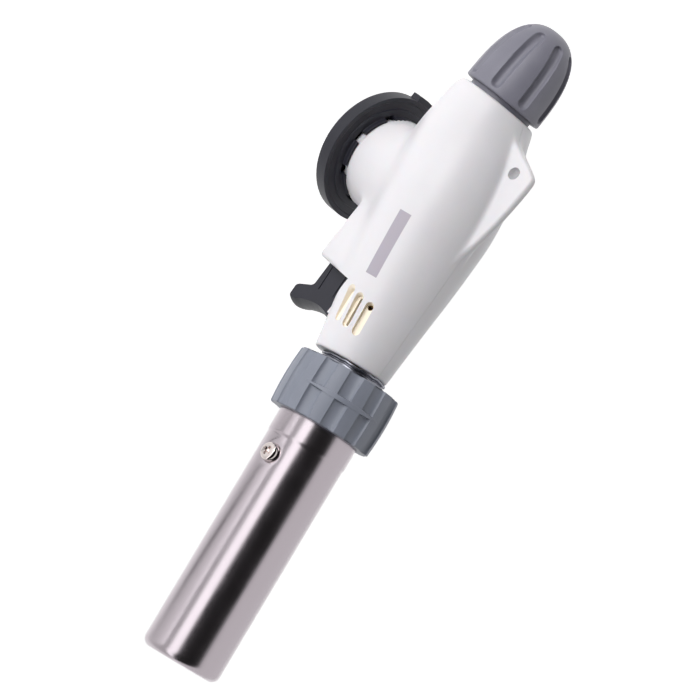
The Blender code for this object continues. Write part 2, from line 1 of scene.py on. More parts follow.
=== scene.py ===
"""Gas torch head: the visible pieces and their finishes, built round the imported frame.

Lengths inside this script are millimetres until a mesh is made. Run it as a script: it registers its own
properties, operators and panel, then calls the operators one after another.
"""

import json
import math

import bmesh
import bpy
import numpy as np
from mathutils import Matrix, Vector


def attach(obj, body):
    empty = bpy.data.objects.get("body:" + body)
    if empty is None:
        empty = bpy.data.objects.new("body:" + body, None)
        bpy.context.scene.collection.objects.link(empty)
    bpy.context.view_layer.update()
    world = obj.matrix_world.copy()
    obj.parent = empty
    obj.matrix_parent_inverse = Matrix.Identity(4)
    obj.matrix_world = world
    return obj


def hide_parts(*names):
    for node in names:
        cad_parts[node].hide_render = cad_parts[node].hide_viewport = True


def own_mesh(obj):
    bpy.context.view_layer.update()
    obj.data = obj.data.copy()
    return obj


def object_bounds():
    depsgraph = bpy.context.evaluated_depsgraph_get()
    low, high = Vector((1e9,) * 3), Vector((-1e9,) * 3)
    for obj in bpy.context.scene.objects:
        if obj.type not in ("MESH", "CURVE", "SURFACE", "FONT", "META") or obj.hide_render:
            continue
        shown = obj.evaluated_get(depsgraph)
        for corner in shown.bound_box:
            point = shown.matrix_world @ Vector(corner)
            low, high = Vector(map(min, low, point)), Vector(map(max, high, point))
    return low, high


bl_info = {
    "name": "Gas Torch Head",
    "version": (1, 0, 0),
    "blender": (4, 5, 0),
    "location": "3D View > Sidebar > Torch",
    "description": "Builds the shells, knob, ring, collar, burner tube and finishes of a gas torch head",
    "category": "Add Mesh",
}

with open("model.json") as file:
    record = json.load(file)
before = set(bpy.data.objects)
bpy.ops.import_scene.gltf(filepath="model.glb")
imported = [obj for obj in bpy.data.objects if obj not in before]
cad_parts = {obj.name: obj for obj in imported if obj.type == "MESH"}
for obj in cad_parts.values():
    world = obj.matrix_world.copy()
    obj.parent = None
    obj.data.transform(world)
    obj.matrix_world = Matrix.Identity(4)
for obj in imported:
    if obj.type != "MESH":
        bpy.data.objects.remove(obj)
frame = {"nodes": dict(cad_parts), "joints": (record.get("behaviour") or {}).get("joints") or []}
CAD_BOX = [list(corner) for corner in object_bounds()]
NODES = frame["nodes"]
JOINTS = {joint["name"]: joint for joint in frame["joints"]}

MM = 0.001
QUARTER = math.pi / 2
SEAM = 0.04                      # half the parting line between the two shells
SHELL_SCREWS = ((-21, 40), (6, 46), (19, 35.3))      # each one's x and z
HUB_SCREWS = 7.4                 # the radius that they stand on
PIEZO_HEIGHT = 24.2              # the middle of the trigger's spring and socket
COLLAR_PIVOT = 10.0              # along the tube, like the three below
TUBE_SCREW = 31.8
TUBE_MOUTH = 95.25
TUBE_STEP = 25.7                 # the tube is a little wider behind this station


# ---------------------------------------------------------------- places

def place_along(axis, point):
    """A matrix in mm, at a point given in metres, whose Z runs along the axis and whose Y is the world's."""
    z = Vector(axis).normalized()
    y = Vector((0, 1, 0))
    x = y.cross(z).normalized()
    turn = Matrix((x, y, z)).transposed().to_4x4()
    return Matrix.Translation(Vector(point) / MM) @ turn


TUBE_AXIS = Vector(JOINTS["collar_turn"]["axis"]).normalized()
TUBE_START = Vector(JOINTS["collar_turn"]["pos_m"]) - TUBE_AXIS * COLLAR_PIVOT * MM
ALONG_TUBE = place_along(TUBE_AXIS, TUBE_START)
TUBE_LEAN = math.atan2(TUBE_AXIS.z, TUBE_AXIS.x)
KNOB_PIVOT = Vector(JOINTS["knob_turn"]["pos_m"])
ALONG_SPINDLE = place_along((1, 0, 0), (0, 0, KNOB_PIVOT.z))
UPRIGHT = Matrix.Identity(4)


def across(x, z):
    """A place at x, z whose Z points to the far side, +Y."""
    return Matrix.Translation((x, 0, z)) @ Matrix.Rotation(-QUARTER, 4, "X")


def across_tube(along, turned=0):
    """A place on the tube's axis whose Z points to the near side, or to the far side when turned by 180."""
    return (ALONG_TUBE @ Matrix.Translation((0, 0, along)) @ Matrix.Rotation(QUARTER, 4, "X")
            @ Matrix.Rotation(math.radians(turned), 4, "X"))


# ---------------------------------------------------------------- mesh helpers

def smooth_step(value, low, high):
    """0 below low, 1 above high, and a smooth S between."""
    t = np.clip((value - low) / (high - low), 0, 1)
    return t * t * (3 - 2 * t)


def soft_min(a, b, width):
    """The lesser of a and b, with the corner between them filled over the given width."""
    h = np.maximum(width - np.abs(a - b), 0) / width
    return np.minimum(a, b) - h * h * width / 4


def soft_max(a, b, width):
    return -soft_min(-a, -b, width)


def curve_through(stations, x):
    """A smooth curve through (x, value) stations: a cubic on each span, with the slopes of its neighbours."""
    sx, sv = np.array(stations, float).T
    slope = np.gradient(sv, sx)
    i = np.clip(np.searchsorted(sx, x) - 1, 0, len(sx) - 2)
    span = sx[i + 1] - sx[i]
    t = np.clip((x - sx[i]) / span, 0, 1)
    return ((2 * t**3 - 3 * t**2 + 1) * sv[i] + (t**3 - 2 * t**2 + t) * span * slope[i]
            + (3 * t**2 - 2 * t**3) * sv[i + 1] + (t**3 - t**2) * span * slope[i + 1])


def rounded(corners, radius, steps=4):
    """An outline whose corners are eased by short parabolas, at most radius long on each side."""
    points = []
    for before, here, after in zip(corners[-1:] + corners[:-1], corners, corners[1:] + corners[:1]):
        b, h, a = (np.array(p, float) for p in (before, here, after))
        back, on = b - h, a - h
        start = h + back * min(radius / np.hypot(*back), 0.45)
        end = h + on * min(radius / np.hypot(*on), 0.45)
        for t in np.linspace(0, 1, steps):
            points.append((1 - t)**2 * start + 2 * t * (1 - t) * h + t**2 * end)
    return np.array(points)


def closed(points):
    """The points with the first one again at the end."""
    return np.vstack([points, points[:1]])


def dense(low, high, count, spots=(), width=1.0, gain=8.0):
    """Stations from low to high that crowd round the given spots: the inverse of a summed density."""
    x = np.linspace(low, high, 4000)
    density = np.ones_like(x)
    for spot in spots:
        density += gain * np.exp(-((x - spot) / width)**2)
    total = np.concatenate(([0], np.cumsum((density[1:] + density[:-1]) / 2)))
    return np.interp(np.linspace(0, total[-1], count), total, x)


def turning(profile, angles):
    """Grids of radius, angle and height for a profile of (radius, height) turned round Z."""
    r = np.repeat(np.asarray(profile)[:, :1], len(angles), axis=1)
    z = np.repeat(np.asarray(profile)[:, 1:], len(angles), axis=1)
    a = np.repeat(np.asarray(angles)[None, :], len(profile), axis=0)
    return r, a, z


def round_grid(r, a, z):
    """Points of a turned grid: radius times cosine and sine of the angle, and the height."""
    return np.stack([r * np.cos(a), r * np.sin(a), z], axis=-1)


def full_turn(count):
    return np.linspace(0, 2 * math.pi, count + 1)


def angle_off(a, centre):
    """The signed angle from a centre, between minus and plus half a turn."""
    return (a - centre + math.pi) % (2 * math.pi) - math.pi


def grid_faces(rows, columns, first):
    i, j = np.meshgrid(np.arange(rows - 1), np.arange(columns - 1), indexing="ij")
    corner = first + i * columns + j
    return np.stack([corner, corner + 1, corner + columns + 1, corner + columns], axis=-1).reshape(-1, 4)


def end_caps(rows, columns):
    """The first and last rings of a closed grid, as the faces that close its ends."""
    last = (rows - 1) * columns
    return range(columns - 1), range(last, last + columns - 1)


def build(name, grids, place=UPRIGHT, caps=(), sharp=35):
    """A closed piece from grids of points: seams and poles are merged and faces are turned outwards."""
    points, faces, first = [], [], 0
    for grid in grids:
        rows, columns = grid.shape[:2]
        points.append(grid.reshape(-1, 3))
        faces.append(grid_faces(rows, columns, first))
        first += rows * columns
    co = np.concatenate(points)
    co = co @ np.array(place.to_3x3()).T + np.array(place.translation)
    mesh = bpy.data.meshes.new(name)
    all_faces = np.concatenate(faces).tolist() + [list(cap) for cap in caps]
    mesh.from_pydata((co * MM).tolist(), [], all_faces)
    shape = bmesh.new()
    shape.from_mesh(mesh)
    bmesh.ops.remove_doubles(shape, verts=shape.verts, dist=0.000004)
    bmesh.ops.dissolve_degenerate(shape, edges=shape.edges, dist=0.000001)
    bmesh.ops.recalc_face_normals(shape, faces=shape.faces)
    shape.to_mesh(mesh)
    shape.free()
    mesh.shade_smooth()
    mesh.set_sharp_from_angle(angle=math.radians(sharp))
    piece = bpy.data.objects.new(name, mesh)
    bpy.context.scene.collection.objects.link(piece)
    return piece


def prism(name, outline, levels, place):
    """An outline of (x, y) carried along Z; each level is (height, outline's growth in mm)."""
    centre = outline.mean(axis=0)
    ring = closed(outline)
    reach = np.hypot(*(ring - centre).T)[:, None]
    rows = []
    for height, growth in levels:
        grown = centre + (ring - centre) * (1 + growth / reach)
        rows.append(np.column_stack([grown, np.full(len(ring), height)]))
    return build(name, [np.array(rows)], place, end_caps(len(levels), len(ring)))


def stadium(length, width, steps=10):
    """A slot's outline: two half circles joined by straight sides."""
    half = (length - width) / 2
    a = np.linspace(-QUARTER, QUARTER, steps)
    right = np.column_stack([half + width / 2 * np.cos(a), width / 2 * np.sin(a)])
    return np.vstack([right, -right])


def circle(radius, steps=32):
    a = full_turn(steps)[:-1]
    return np.column_stack([radius * np.cos(a), radius * np.sin(a)])


def rod(name, radius, low, high, place, steps=32):
    return prism(name, circle(radius, steps), ((low, 0), (high, 0)), place)


def block(name, low, high, place=UPRIGHT):
    (x0, y0, z0), (x1, y1, z1) = low, high
    outline = np.array([(x0, y0), (x1, y0), (x1, y1), (x0, y1)], float)
    return prism(name, outline, ((z0, 0), (z1, 0)), place)


def side_prism(name, outline, near, far):
    """An outline of (x, z), seen from the near side, carried across from one y to another."""
    turned = Matrix.Rotation(QUARTER, 4, "X")
    return prism(name, np.array(outline, float), ((-far, 0), (-near, 0)), turned)


def carve(piece, *cutters):
    """Takes the cutters out of the piece, in one exact Boolean, and removes them."""
    group = bpy.data.collections.new(piece.name + "_cutters")
    bpy.context.scene.collection.children.link(group)
    for cutter in cutters:
        group.objects.link(cutter)
    knife = piece.modifiers.new("carve", "BOOLEAN")
    knife.operation = "DIFFERENCE"
    knife.operand_type = "COLLECTION"
    knife.collection = group
    knife.material_mode = "TRANSFER"
    graph = bpy.context.evaluated_depsgraph_get()
    cut_mesh = bpy.data.meshes.new_from_object(piece.evaluated_get(graph))
    old = piece.data
    piece.modifiers.clear()
    piece.data = cut_mesh
    bpy.data.meshes.remove(old)
    for cutter in cutters:
        bpy.data.objects.remove(cutter)
    bpy.data.collections.remove(group)
    piece.data.shade_smooth()
    piece.data.set_sharp_from_angle(angle=math.radians(35))
    return piece


def give(piece, material, body, slot, *stands_for):
    """Sets the piece's material and the body that it moves with; hides the frame nodes that it stands for."""
    if material is not None:
        piece.data.materials.clear()
        piece.data.materials.append(material)
    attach(piece, body)
    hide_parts(*stands_for)
    return piece


# ---------------------------------------------------------------- finishes

def linear(code):
    """An sRGB hex colour as linear RGBA."""
    values = [int(code[i:i + 2], 16) / 255 for i in (1, 3, 5)]
    return tuple(v / 12.92 if v <= 0.04045 else ((v + 0.055) / 1.055)**2.4 for v in values) + (1.0,)


def node(tree, kind, links=None, **settings):
    """Adds a node. Settings named in_X set the input X, the others its properties; links feed its inputs."""
    made = tree.nodes.new(kind)
    for key, value in settings.items():
        if key.startswith("in_"):
            made.inputs[key[3:].replace("_", " ")].default_value = value
        else:
            setattr(made, key, value)
    for key, source in (links or {}).items():
        tree.links.new(source, made.inputs[key])
    return made


def finish(name, colour, roughness, metallic=0.0, **sockets):
    """A material with a Principled shader. Returns it with its tree and its shader."""
    made = bpy.data.materials.new(name)
    made.use_nodes = True
    shader = made.node_tree.nodes["Principled BSDF"]
    shader.inputs["Base Color"].default_value = linear(colour)
    shader.inputs["Roughness"].default_value = roughness
    shader.inputs["Metallic"].default_value = metallic
    for key, value in sockets.items():
        shader.inputs[key.replace("_", " ")].default_value = value
    return made, made.node_tree, shader


def grain(tree, shader, size, height, spread, blotch=20.0):
    """Fine moulded or cast grain: a bump of the given size and height in mm, and slow changes of gloss."""
    where = node(tree, "ShaderNodeTexCoord").outputs["Object"]
    fine = node(tree, "ShaderNodeTexNoise", {"Vector": where}, in_Scale=1 / (size * MM), in_Detail=3.0)
    roughen(tree, shader, fine, height)
    rough = shader.inputs["Roughness"].default_value
    vary_gloss(tree, shader, where, blotch, 4.0, (rough - spread, rough + spread))
    return where


def roughen(tree, shader, pattern, height):
    """A bump of the given height in mm, from a noise pattern."""
    bump = node(tree, "ShaderNodeBump", {"Height": pattern.outputs["Fac"]}, in_Strength=1.0,
                in_Distance=height * MM)
    tree.links.new(bump.outputs["Normal"], shader.inputs["Normal"])


def vary_gloss(tree, shader, where, blotch, detail, limits):
    """Slow changes of roughness between two limits, in blotches of the given size in mm."""
    slow = node(tree, "ShaderNodeTexNoise", {"Vector": where}, in_Scale=1 / (blotch * MM), in_Detail=detail)
    gloss = node(tree, "ShaderNodeMapRange", {"Value": slow.outputs["Fac"]}, in_To_Min=limits[0],
                 in_To_Max=limits[1])
    tree.links.new(gloss.outputs["Result"], shader.inputs["Roughness"])


def blend(tree, factor, under, over):
    """Mixes two colours, each a socket or a hex code, and returns the result's socket."""
    mix = node(tree, "ShaderNodeMix", {"Factor": factor}, data_type="RGBA")
    inputs = [socket for socket in mix.inputs if socket.type == "RGBA"]
    for socket, tone in zip(inputs, (under, over)):
        if isinstance(tone, str):
            socket.default_value = linear(tone)
        else:
            tree.links.new(tone, socket)
    return [socket for socket in mix.outputs if socket.type == "RGBA"][0]


def moulded(name, colour, roughness, worn, size=0.35, height=0.012, **sockets):
    """Moulded plastic: a colour that wanders towards a worn one, fine spark-eroded grain, soft gloss."""
    made, tree, shader = finish(name, colour, roughness, **sockets)
    where = grain(tree, shader, size, height, 0.04)
    slow = node(tree, "ShaderNodeTexNoise", {"Vector": where}, in_Scale=1 / (9 * MM), in_Detail=5.0)
    tone = blend(tree, slow.outputs["Fac"], colour, worn)
    tree.links.new(tone, shader.inputs["Base Color"])
    return made, tree, shader, where, tone


def metal(name, colour, roughness, size=0.3, height=0.004):
    """Metal with a fine grain in its surface and slow changes of polish."""
    made, tree, shader = finish(name, colour, roughness, 1.0)
    grain(tree, shader, size, height, 0.06, 6.0)
    return made


def printed_panel(tree, where, base, shader, place, size, ink):
    """A plain printed rectangle: the ink shows where a point, seen in the panel's own axes, is inside it."""
    lay = node(tree, "ShaderNodeMapping", {"Vector": where}, vector_type="TEXTURE")
    lay.inputs["Location"].default_value = place.translation * MM
    lay.inputs["Rotation"].default_value = place.to_euler()
    lay.inputs["Scale"].default_value = [half * MM for half in size]
    parts = node(tree, "ShaderNodeSeparateXYZ", {"Vector": lay.outputs["Vector"]})
    inside = None
    for axis in "XYZ":
        away = node(tree, "ShaderNodeMath", {0: parts.outputs[axis]}, operation="ABSOLUTE")
        near = node(tree, "ShaderNodeMath", {0: away.outputs[0]}, operation="LESS_THAN")
        near.inputs[1].default_value = 1.0
        if inside is None:
            inside = near
        else:
            inside = node(tree, "ShaderNodeMath", {0: inside.outputs[0], 1: near.outputs[0]},
                          operation="MULTIPLY")
    tree.links.new(blend(tree, inside.outputs[0], base, ink), shader.inputs["Base Color"])


FINISHES = {}


def make_finishes(look):
    """Every finish of the object, named for the real one."""
    # Moulded ABS: opaque, softly glossy, with a trace of light spreading under the skin.
    white, tree, shader, where, tone = moulded(
        "moulded ABS, white", look.shell_colour, 0.38, "#CDCBCF", Subsurface_Weight=0.12,
        Subsurface_Scale=0.6 * MM, IOR=1.53)
    panel = Matrix.Translation(look.panel_place) @ Matrix.Rotation(-math.radians(look.panel_lean), 4, "Y")
    printed_panel(tree, where, tone, shader, panel, (look.panel_length / 2, 10, look.panel_height / 2),
                  look.panel_colour)
    FINISHES["white"] = white
    # The same plastic inside the vents, painted lighter and warm: painted bounce light, standing in for the
    # light that the brass behind it throws back.
    FINISHES["vent"] = moulded("moulded ABS, vent walls", "#F1E9DB", 0.5, "#EBE0CD")[0]
    # Moulded ABS, filled grey: a little duller than the shell.
    FINISHES["knob"] = moulded("moulded ABS, grey", look.knob_colour, 0.42, "#7A7984", IOR=1.53)[0]
    FINISHES["collar"] = moulded("moulded nylon, grey", look.collar_colour, 0.45, "#7B7F8B", IOR=1.53)[0]
    # Glass-filled nylon: nearly black, fine grain, broad dull highlight.
    FINISHES["black"] = moulded("moulded nylon, black", look.black_colour, 0.45, "#22222C", height=0.02)[0]
    # Drawn stainless is a mirror that its lines blur; zinc plate is duller, nickel plate warm and bright.
    FINISHES["steel"] = drawn_steel("drawn stainless steel", "#BFB6BC", 0.19)
    FINISHES["flange"] = metal("zinc-plated steel", "#8C8D96", 0.26)
    FINISHES["nickel"] = metal("nickel-plated steel", "#E0D6D3", 0.14)
    # Turned brass and drawn copper keep a half-bright colour; die-cast zinc is grey, grained and matt.
    FINISHES["brass"] = metal("turned brass", "#D9B56B", 0.28)
    FINISHES["copper"] = metal("drawn copper", "#C9805C", 0.3)
    FINISHES["zinc"] = metal("die-cast zinc", "#A9A9AE", 0.45, 0.5, 0.02)
    # Glazed alumina is smooth and cream; silicone and nitrile rubber are dull, with a broad soft highlight.
    FINISHES["ceramic"] = moulded("glazed alumina", "#EFEAE0", 0.25, "#E6DFD2")[0]
    FINISHES["silicone"] = moulded("silicone lead cover", "#C9463C", 0.5, "#B83F37")[0]
    FINISHES["rubber"] = moulded("nitrile rubber", "#232326", 0.7, "#2C2C30", height=0.02)[0]


def drawn_steel(name, colour, roughness):
    """Drawn and polished stainless tube: drawing lines along the tube blur its gloss round the tube.

    The lines are 0.3 mm apart, coarser than real ones so that they show, and five times as long as wide.
    """
    made, tree, shader = finish(name, colour, roughness, 1.0)
    where = node(tree, "ShaderNodeTexCoord").outputs["Object"]
    lay = node(tree, "ShaderNodeMapping", {"Vector": where}, vector_type="TEXTURE")
    lay.inputs["Location"].default_value = TUBE_START
    lay.inputs["Rotation"].default_value = (0, -TUBE_LEAN, 0)
    lay.inputs["Scale"].default_value = (5, 1, 1)
    lines = node(tree, "ShaderNodeTexNoise", {"Vector": lay.outputs["Vector"]}, in_Scale=1 / (0.3 * MM),
                 in_Detail=3.0)
    roughen(tree, shader, lines, 0.0055)
    vary_gloss(tree, shader, where, 7, 6.0, (roughness - 0.04, roughness + 0.08))
    return made


# ---------------------------------------------------------------- the moulded body

BARREL = ((-33, 12.2), (-25, 14.5), (-18, 16.5), (-9, 17.7), (0, 17.9), (10, 17.0), (20, 15.8), (30, 14.4),
          (40, 13.1), (58, 10.8))
FIN_TOP = ((-33, 29.6), (-30.5, 35.2), (-27.9, 41.6), (-25.4, 48.0), (-23.2, 53.6), (-22.4, 55.2),
           (-21.3, 55.95), (-19, 56.2), (-12.9, 56.1), (-3, 55.2), (7, 53.3), (16, 50.4), (30, 42))
BARREL_HEIGHT = 34.1             # of the barrel's middle, over the canister
BARREL_RISE = 0.218              # per mm towards the burner
BODY_REAR = -33.0
BODY_FRONT = -1.4                # along the tube
SKIRT_FRONT = 32.2
INNER_TOP = 34.0                 # where the skirt and the boss end, inside the barrel
NECK_LOW = 3.6
PIT = (18.7, 28)                 # a small pit in the barrel: its x, and its angle from the top in degrees
VENT_STATION = 38.3
VENTS = ((28.5, None), (11.0, 0.05), (-5.7, 0.5))      # degrees up from level, and how far its slit sits up
WINDOW = 4.9                     # half the width of the trigger's window


def barrel_z(x):
    return BARREL_HEIGHT + BARREL_RISE * x


def round_box(*reaches, radius):
    """Distance to a box with round edges, from how far a point lies beyond each of its faces."""
    out = np.stack([reach + radius for reach in reaches])
    return np.sqrt((np.maximum(out, 0)**2).sum(axis=0)) + np.minimum(out.max(axis=0), 0) - radius


def skin(x, y, z, look):
    """Signed distance to the body's outer skin, in mm and less than 0 inside.

    A round barrel whose radius follows its stations, a skirt below it, a round boss with its neck and a thin
    fin on top are joined with soft minimums, whose widths are the fillets. A plane closes each end.
    """
    barrel = np.hypot(y, z - barrel_z(x)) - curve_through(BARREL, x)
    skirt = round_box(-31.0 - x, x - SKIRT_FRONT, np.abs(y) - 9.0, 16.3 - z, z - INNER_TOP, radius=1.6)
    plan = np.hypot(x, y)
    boss = round_box(plan - 14.5, 6.8 - z, z - INNER_TOP, radius=1.0)
    neck = round_box(plan - 13.1, NECK_LOW - z, z - 30.0, radius=0.3)
    body = soft_min(barrel, skirt, look.skirt_fillet)
    body = soft_min(body, boss, look.boss_fillet)
    run = np.linspace(FIN_TOP[0][0], FIN_TOP[-1][0], 400)
    steep = np.hypot(1, np.gradient(curve_through(FIN_TOP, run), run))
    fin_height = (z - curve_through(FIN_TOP, x)) / np.interp(x, run, steep)
    fin = soft_max(np.abs(y) - (1.25 + 0.05 * np.maximum(57 - z, 0)), fin_height, 1.2)
    fin = np.maximum(fin, barrel_z(x) - z)
    body = soft_min(body, fin, look.fin_fillet)
    body = np.minimum(body, neck)
    along = (x - TUBE_START.x / MM) * TUBE_AXIS.x + (z - TUBE_START.z / MM) * TUBE_AXIS.z
    body = soft_max(body, BODY_REAR - x, 0.7)
    return soft_max(body, along - BODY_FRONT, 0.8)


def skin_grid(look, side, inset, stations, angles):
    """Points where rays from the barrel's centre line meet the skin, or the skin moved in by an inset.

    Each station sends a fan of rays; the fans lean over towards the tube's tilt near the front. The distance
    along every ray is found by halving a bracket, on whole arrays. The outer skin then sinks at the pit and
    by a hair along the seam.
    """
    to_front = TUBE_START.x / MM * TUBE_AXIS.x + (TUBE_START.z / MM - BARREL_HEIGHT) * TUBE_AXIS.z
    first = BODY_REAR + inset + 0.02
    last = (to_front + BODY_FRONT - 0.02 - inset) / (TUBE_AXIS.x + BARREL_RISE * TUBE_AXIS.z)
    spots = (BODY_REAR, -31, -27, -14.4, 14.4, SKIRT_FRONT - 0.4, 51)
    x = dense(first, last, stations, spots, 0.9, 7.0)[:, None]
    a = np.asarray(angles)[None, :]
    lean = -smooth_step(x, 30, 48) * math.tan(TUBE_LEAN) * np.cos(a)
    low = np.zeros(np.broadcast(x, a).shape)
    high = np.full(low.shape, 45.0)
    for _ in range(34):
        middle = (low + high) / 2
        inside = skin(x + lean * middle, middle * np.sin(a), barrel_z(x) + middle * np.cos(a), look) < -inset
        low, high = np.where(inside, middle, low), np.where(inside, high, middle)
    reach = low
    y = reach * np.sin(a)
    if inset == 0:
        off = np.hypot(x + lean * reach - PIT[0], reach * (a - math.radians(PIT[1])))
        reach = reach - 0.22 * np.exp(-(off / 1.2)**2)
        y = reach * np.sin(a)
        reach = reach - 0.03 * smooth_step(y, 0.3, 0.0)
    z = barrel_z(x) + reach * np.cos(a)
    points = np.stack([x + lean * reach, side * np.maximum(y, SEAM), z], axis=-1)
    ends = []
    for row in (0, -1):
        middle = np.array([x[row, 0], side * SEAM, barrel_z(x[row, 0])])
        ends.append(np.repeat(middle[None, None, :], len(angles), axis=1))
    return np.concatenate([ends[0], points, ends[1]])


def vent_cutters(look, side):
    """Three long slots on one side of the barrel, in line with the burner tube and flared at the surface.

    Each is a blind recess. A round hole at the end of the top one and a slit in the others let the air in.
    """
    made = []
    middle = Vector((VENT_STATION, 0, barrel_z(VENT_STATION)))
    radius = float(curve_through(BARREL, np.array(VENT_STATION)))
    levels = ((-look.vent_depth, 0), (-0.35, 0), (-0.05, 0.12), (0.3, 0.5), (1.5, 1.6))
    for count, (degrees, slit_rise) in enumerate(VENTS):
        a = math.radians(degrees)
        outward = Vector((0, side * math.cos(a), math.sin(a)))
        sideways = outward.cross(TUBE_AXIS).normalized()
        along = sideways.cross(outward).normalized()
        axes = Matrix((along, sideways, outward)).transposed().to_4x4()
        place = Matrix.Translation(middle + outward * radius) @ axes
        made.append(prism(f"vent_{count}", stadium(look.vent_length, look.vent_width), levels, place))
        if slit_rise is None:
            end = Matrix.Translation(((look.vent_width - look.vent_length) / 2, 0, 0))
            made.append(rod("vent_end", 0.85, -5.0, 1.0, place @ end, 20))
        else:
            aside = Matrix.Translation((0, -side * slit_rise, 0))
            slit = stadium(look.vent_length - 1.2, 0.8)
            made.append(prism(f"vent_slit_{count}", slit, ((-5.0, 0), (-0.5, 0)), place @ aside))
    # The vent walls take the vent finish, whose lighter, warmer colour is painted bounce light.
    for cutter in made:
        cutter.data.materials.append(FINISHES["vent"])
    return made


def shell_openings(look, side):
    """Cutters for the openings of one shell, each with the finish of the walls that it leaves."""
    top = look.belly
    belly = [(SKIRT_FRONT, 10), (SKIRT_FRONT, top), (44, top - 5), (52, top - 8), (52, 10)]
    cutters = [
        block("window", (28.0, -WINDOW, 10.0), (49.0, WINDOW, 32.0)),
        block("slide_way", (24.2, -WINDOW, 17.9), (29.0, WINDOW, 32.0)),
        rod("neck_bore", 12.2, 0.0, 9.5, UPRIGHT, 96),
        rod("front_bore", 7.4, -9.0, 3.0, ALONG_TUBE, 72),
        rod("insulator_hole", 2.0, -9.0, 3.0, ALONG_TUBE @ Matrix.Translation((8.9, 0, 0)), 24),
        side_prism("belly", belly, -25, 25),
        rod("rear_bore", 10.9, -40.0, -29.0, ALONG_SPINDLE, 96),
        rod("hang_hole", 1.9, -6.0, 6.0, across(-20.0, 49.5), 40),
    ]
    if side > 0:
        for count, (x, z) in enumerate(SHELL_SCREWS):
            cutters.append(rod(f"counterbore_{count}", 2.8, 5.4, 25.0, across(x, z), 32))
    for cutter in cutters:
        cutter.data.materials.append(FINISHES["white"])
    return cutters + vent_cutters(look, side)


def trigger_guide(look, side):
    """The wall beside the trigger, over the window, that its side slides along."""
    near, far = sorted((5.0 * side, 6.4 * side))
    rear, front, foot = SKIRT_FRONT + 0.2, 43.4, 31.4
    outline = [(rear, foot), (rear, look.belly + 1), (front, look.belly - 3.3), (front, foot)]
    guide = side_prism("guide", outline, near, far)
    guide.data.materials.append(FINISHES["white"])
    return guide


def make_shell(look, name, side):
    """One half of the body: its outer skin, its inner skin and the flat rims that face the other half."""
    crowd = dense(0, math.pi, 120, (0.045, 0.08, math.radians(153), math.pi), 0.07, 7.0)
    outer = skin_grid(look, side, 0.0, 180, crowd)
    inner = skin_grid(look, side, look.wall, 180, crowd)
    rims = [np.stack([outer[:, edge], inner[:, edge]], axis=1) for edge in (0, -1)]
    shell = build(name + "_moulding", [outer, inner[:, ::-1], *rims], sharp=40)
    shell.data.materials.append(FINISHES["white"])
    carve(shell, *shell_openings(look, side))
    merge(shell, trigger_guide(look, side))
    if side > 0:
        merge(shell, *[screw_seat(count, x, z) for count, (x, z) in enumerate(SHELL_SCREWS)])
    return give(shell, None, "torch", "shell_white", name)


def screw_seat(count, x, z):
    """The tubular post under a shell screw's head: a turned ring with a flat floor."""
    corners = [(2.75, 5.45), (3.9, 5.45), (3.9, 0.3), (1.4, 0.3), (1.4, 4.9), (2.75, 4.9)]
    profile = closed(rounded(corners, 0.2, 3))
    seat = build(f"screw_seat_{count}", [round_grid(*turning(profile, full_turn(32)))], across(x, z))
    seat.data.materials.append(FINISHES["white"])
    return seat


def merge(piece, *others):
    """Adds the others' meshes to the piece's mesh as further closed parts, and removes them."""
    shape = bmesh.new()
    shape.from_mesh(piece.data)
    for other in others:
        shape.from_mesh(other.data)
        bpy.data.objects.remove(other)
    shape.to_mesh(piece.data)
    shape.free()


# ---------------------------------------------------------------- turned and moulded pieces

def make_knob(look):
    """The knob: a bullet turned round the spindle, its flank hollowed by eight round-bottomed grooves.

    Radius = knob radius * (1 - share^2.8)^0.42 along its length, less the part of a groove's circle that lies
    under the surface, where the distance from the groove's middle is radius times angle.
    """
    base, tip, wide = -34.4, -59.4, look.knob_radius
    # The bullet's first ring is drawn in by the lip's rounding; share crowds the stations at the nose.
    share = 1 - (1 - np.linspace(0, 1, 140))**1.7
    bullet = np.column_stack([wide * np.clip(1 - share**2.8, 0, 1)**0.42, base + (tip - base) * share])
    bullet[0, 0] -= 0.45
    lip = [(wide - 0.25, base - 0.1), (wide - 0.08, base - 0.25), (wide, base - 0.5)]
    inside = [(0, -44.6), (2.0, -44.6), (2.0, -33.0), (4.2, -33.0), (4.2, -46.0), (9.0, -46.0), (9.0, -31.3),
              (9.2, -31.2), (10.2, -31.2), (10.4, -31.4), (10.4, base + 0.15), (10.6, base)]
    profile = np.vstack([inside, bullet[:1], lip, bullet[3:]])
    r, a, z = turning(profile, full_turn(448))
    flank = np.arange(len(profile))[:, None] >= len(inside)
    depth = look.groove_depth * smooth_step((base - z) / (base - tip), 0.99, 0.88)
    short = np.maximum(np.maximum(look.groove_start - (base - z), base - z - look.groove_end), 0)
    for turned in np.radians(22.5 + 45 * np.arange(8)):
        off = np.hypot(r * angle_off(a, turned), short)
        bowl = np.sqrt(np.clip(1 - (off / look.groove_width)**2, 0, 1))
        wall = smooth_step(off, look.groove_width * 1.15, look.groove_width * 0.9)
        r = np.where(flank, r - depth * np.maximum(bowl, 0.35 * wall), r)
    knob = build("flow_knob_grip", [round_grid(r, a, z)], ALONG_SPINDLE, sharp=40)
    return give(knob, FINISHES["knob"], "knob", "knob_grey", "flow_knob")


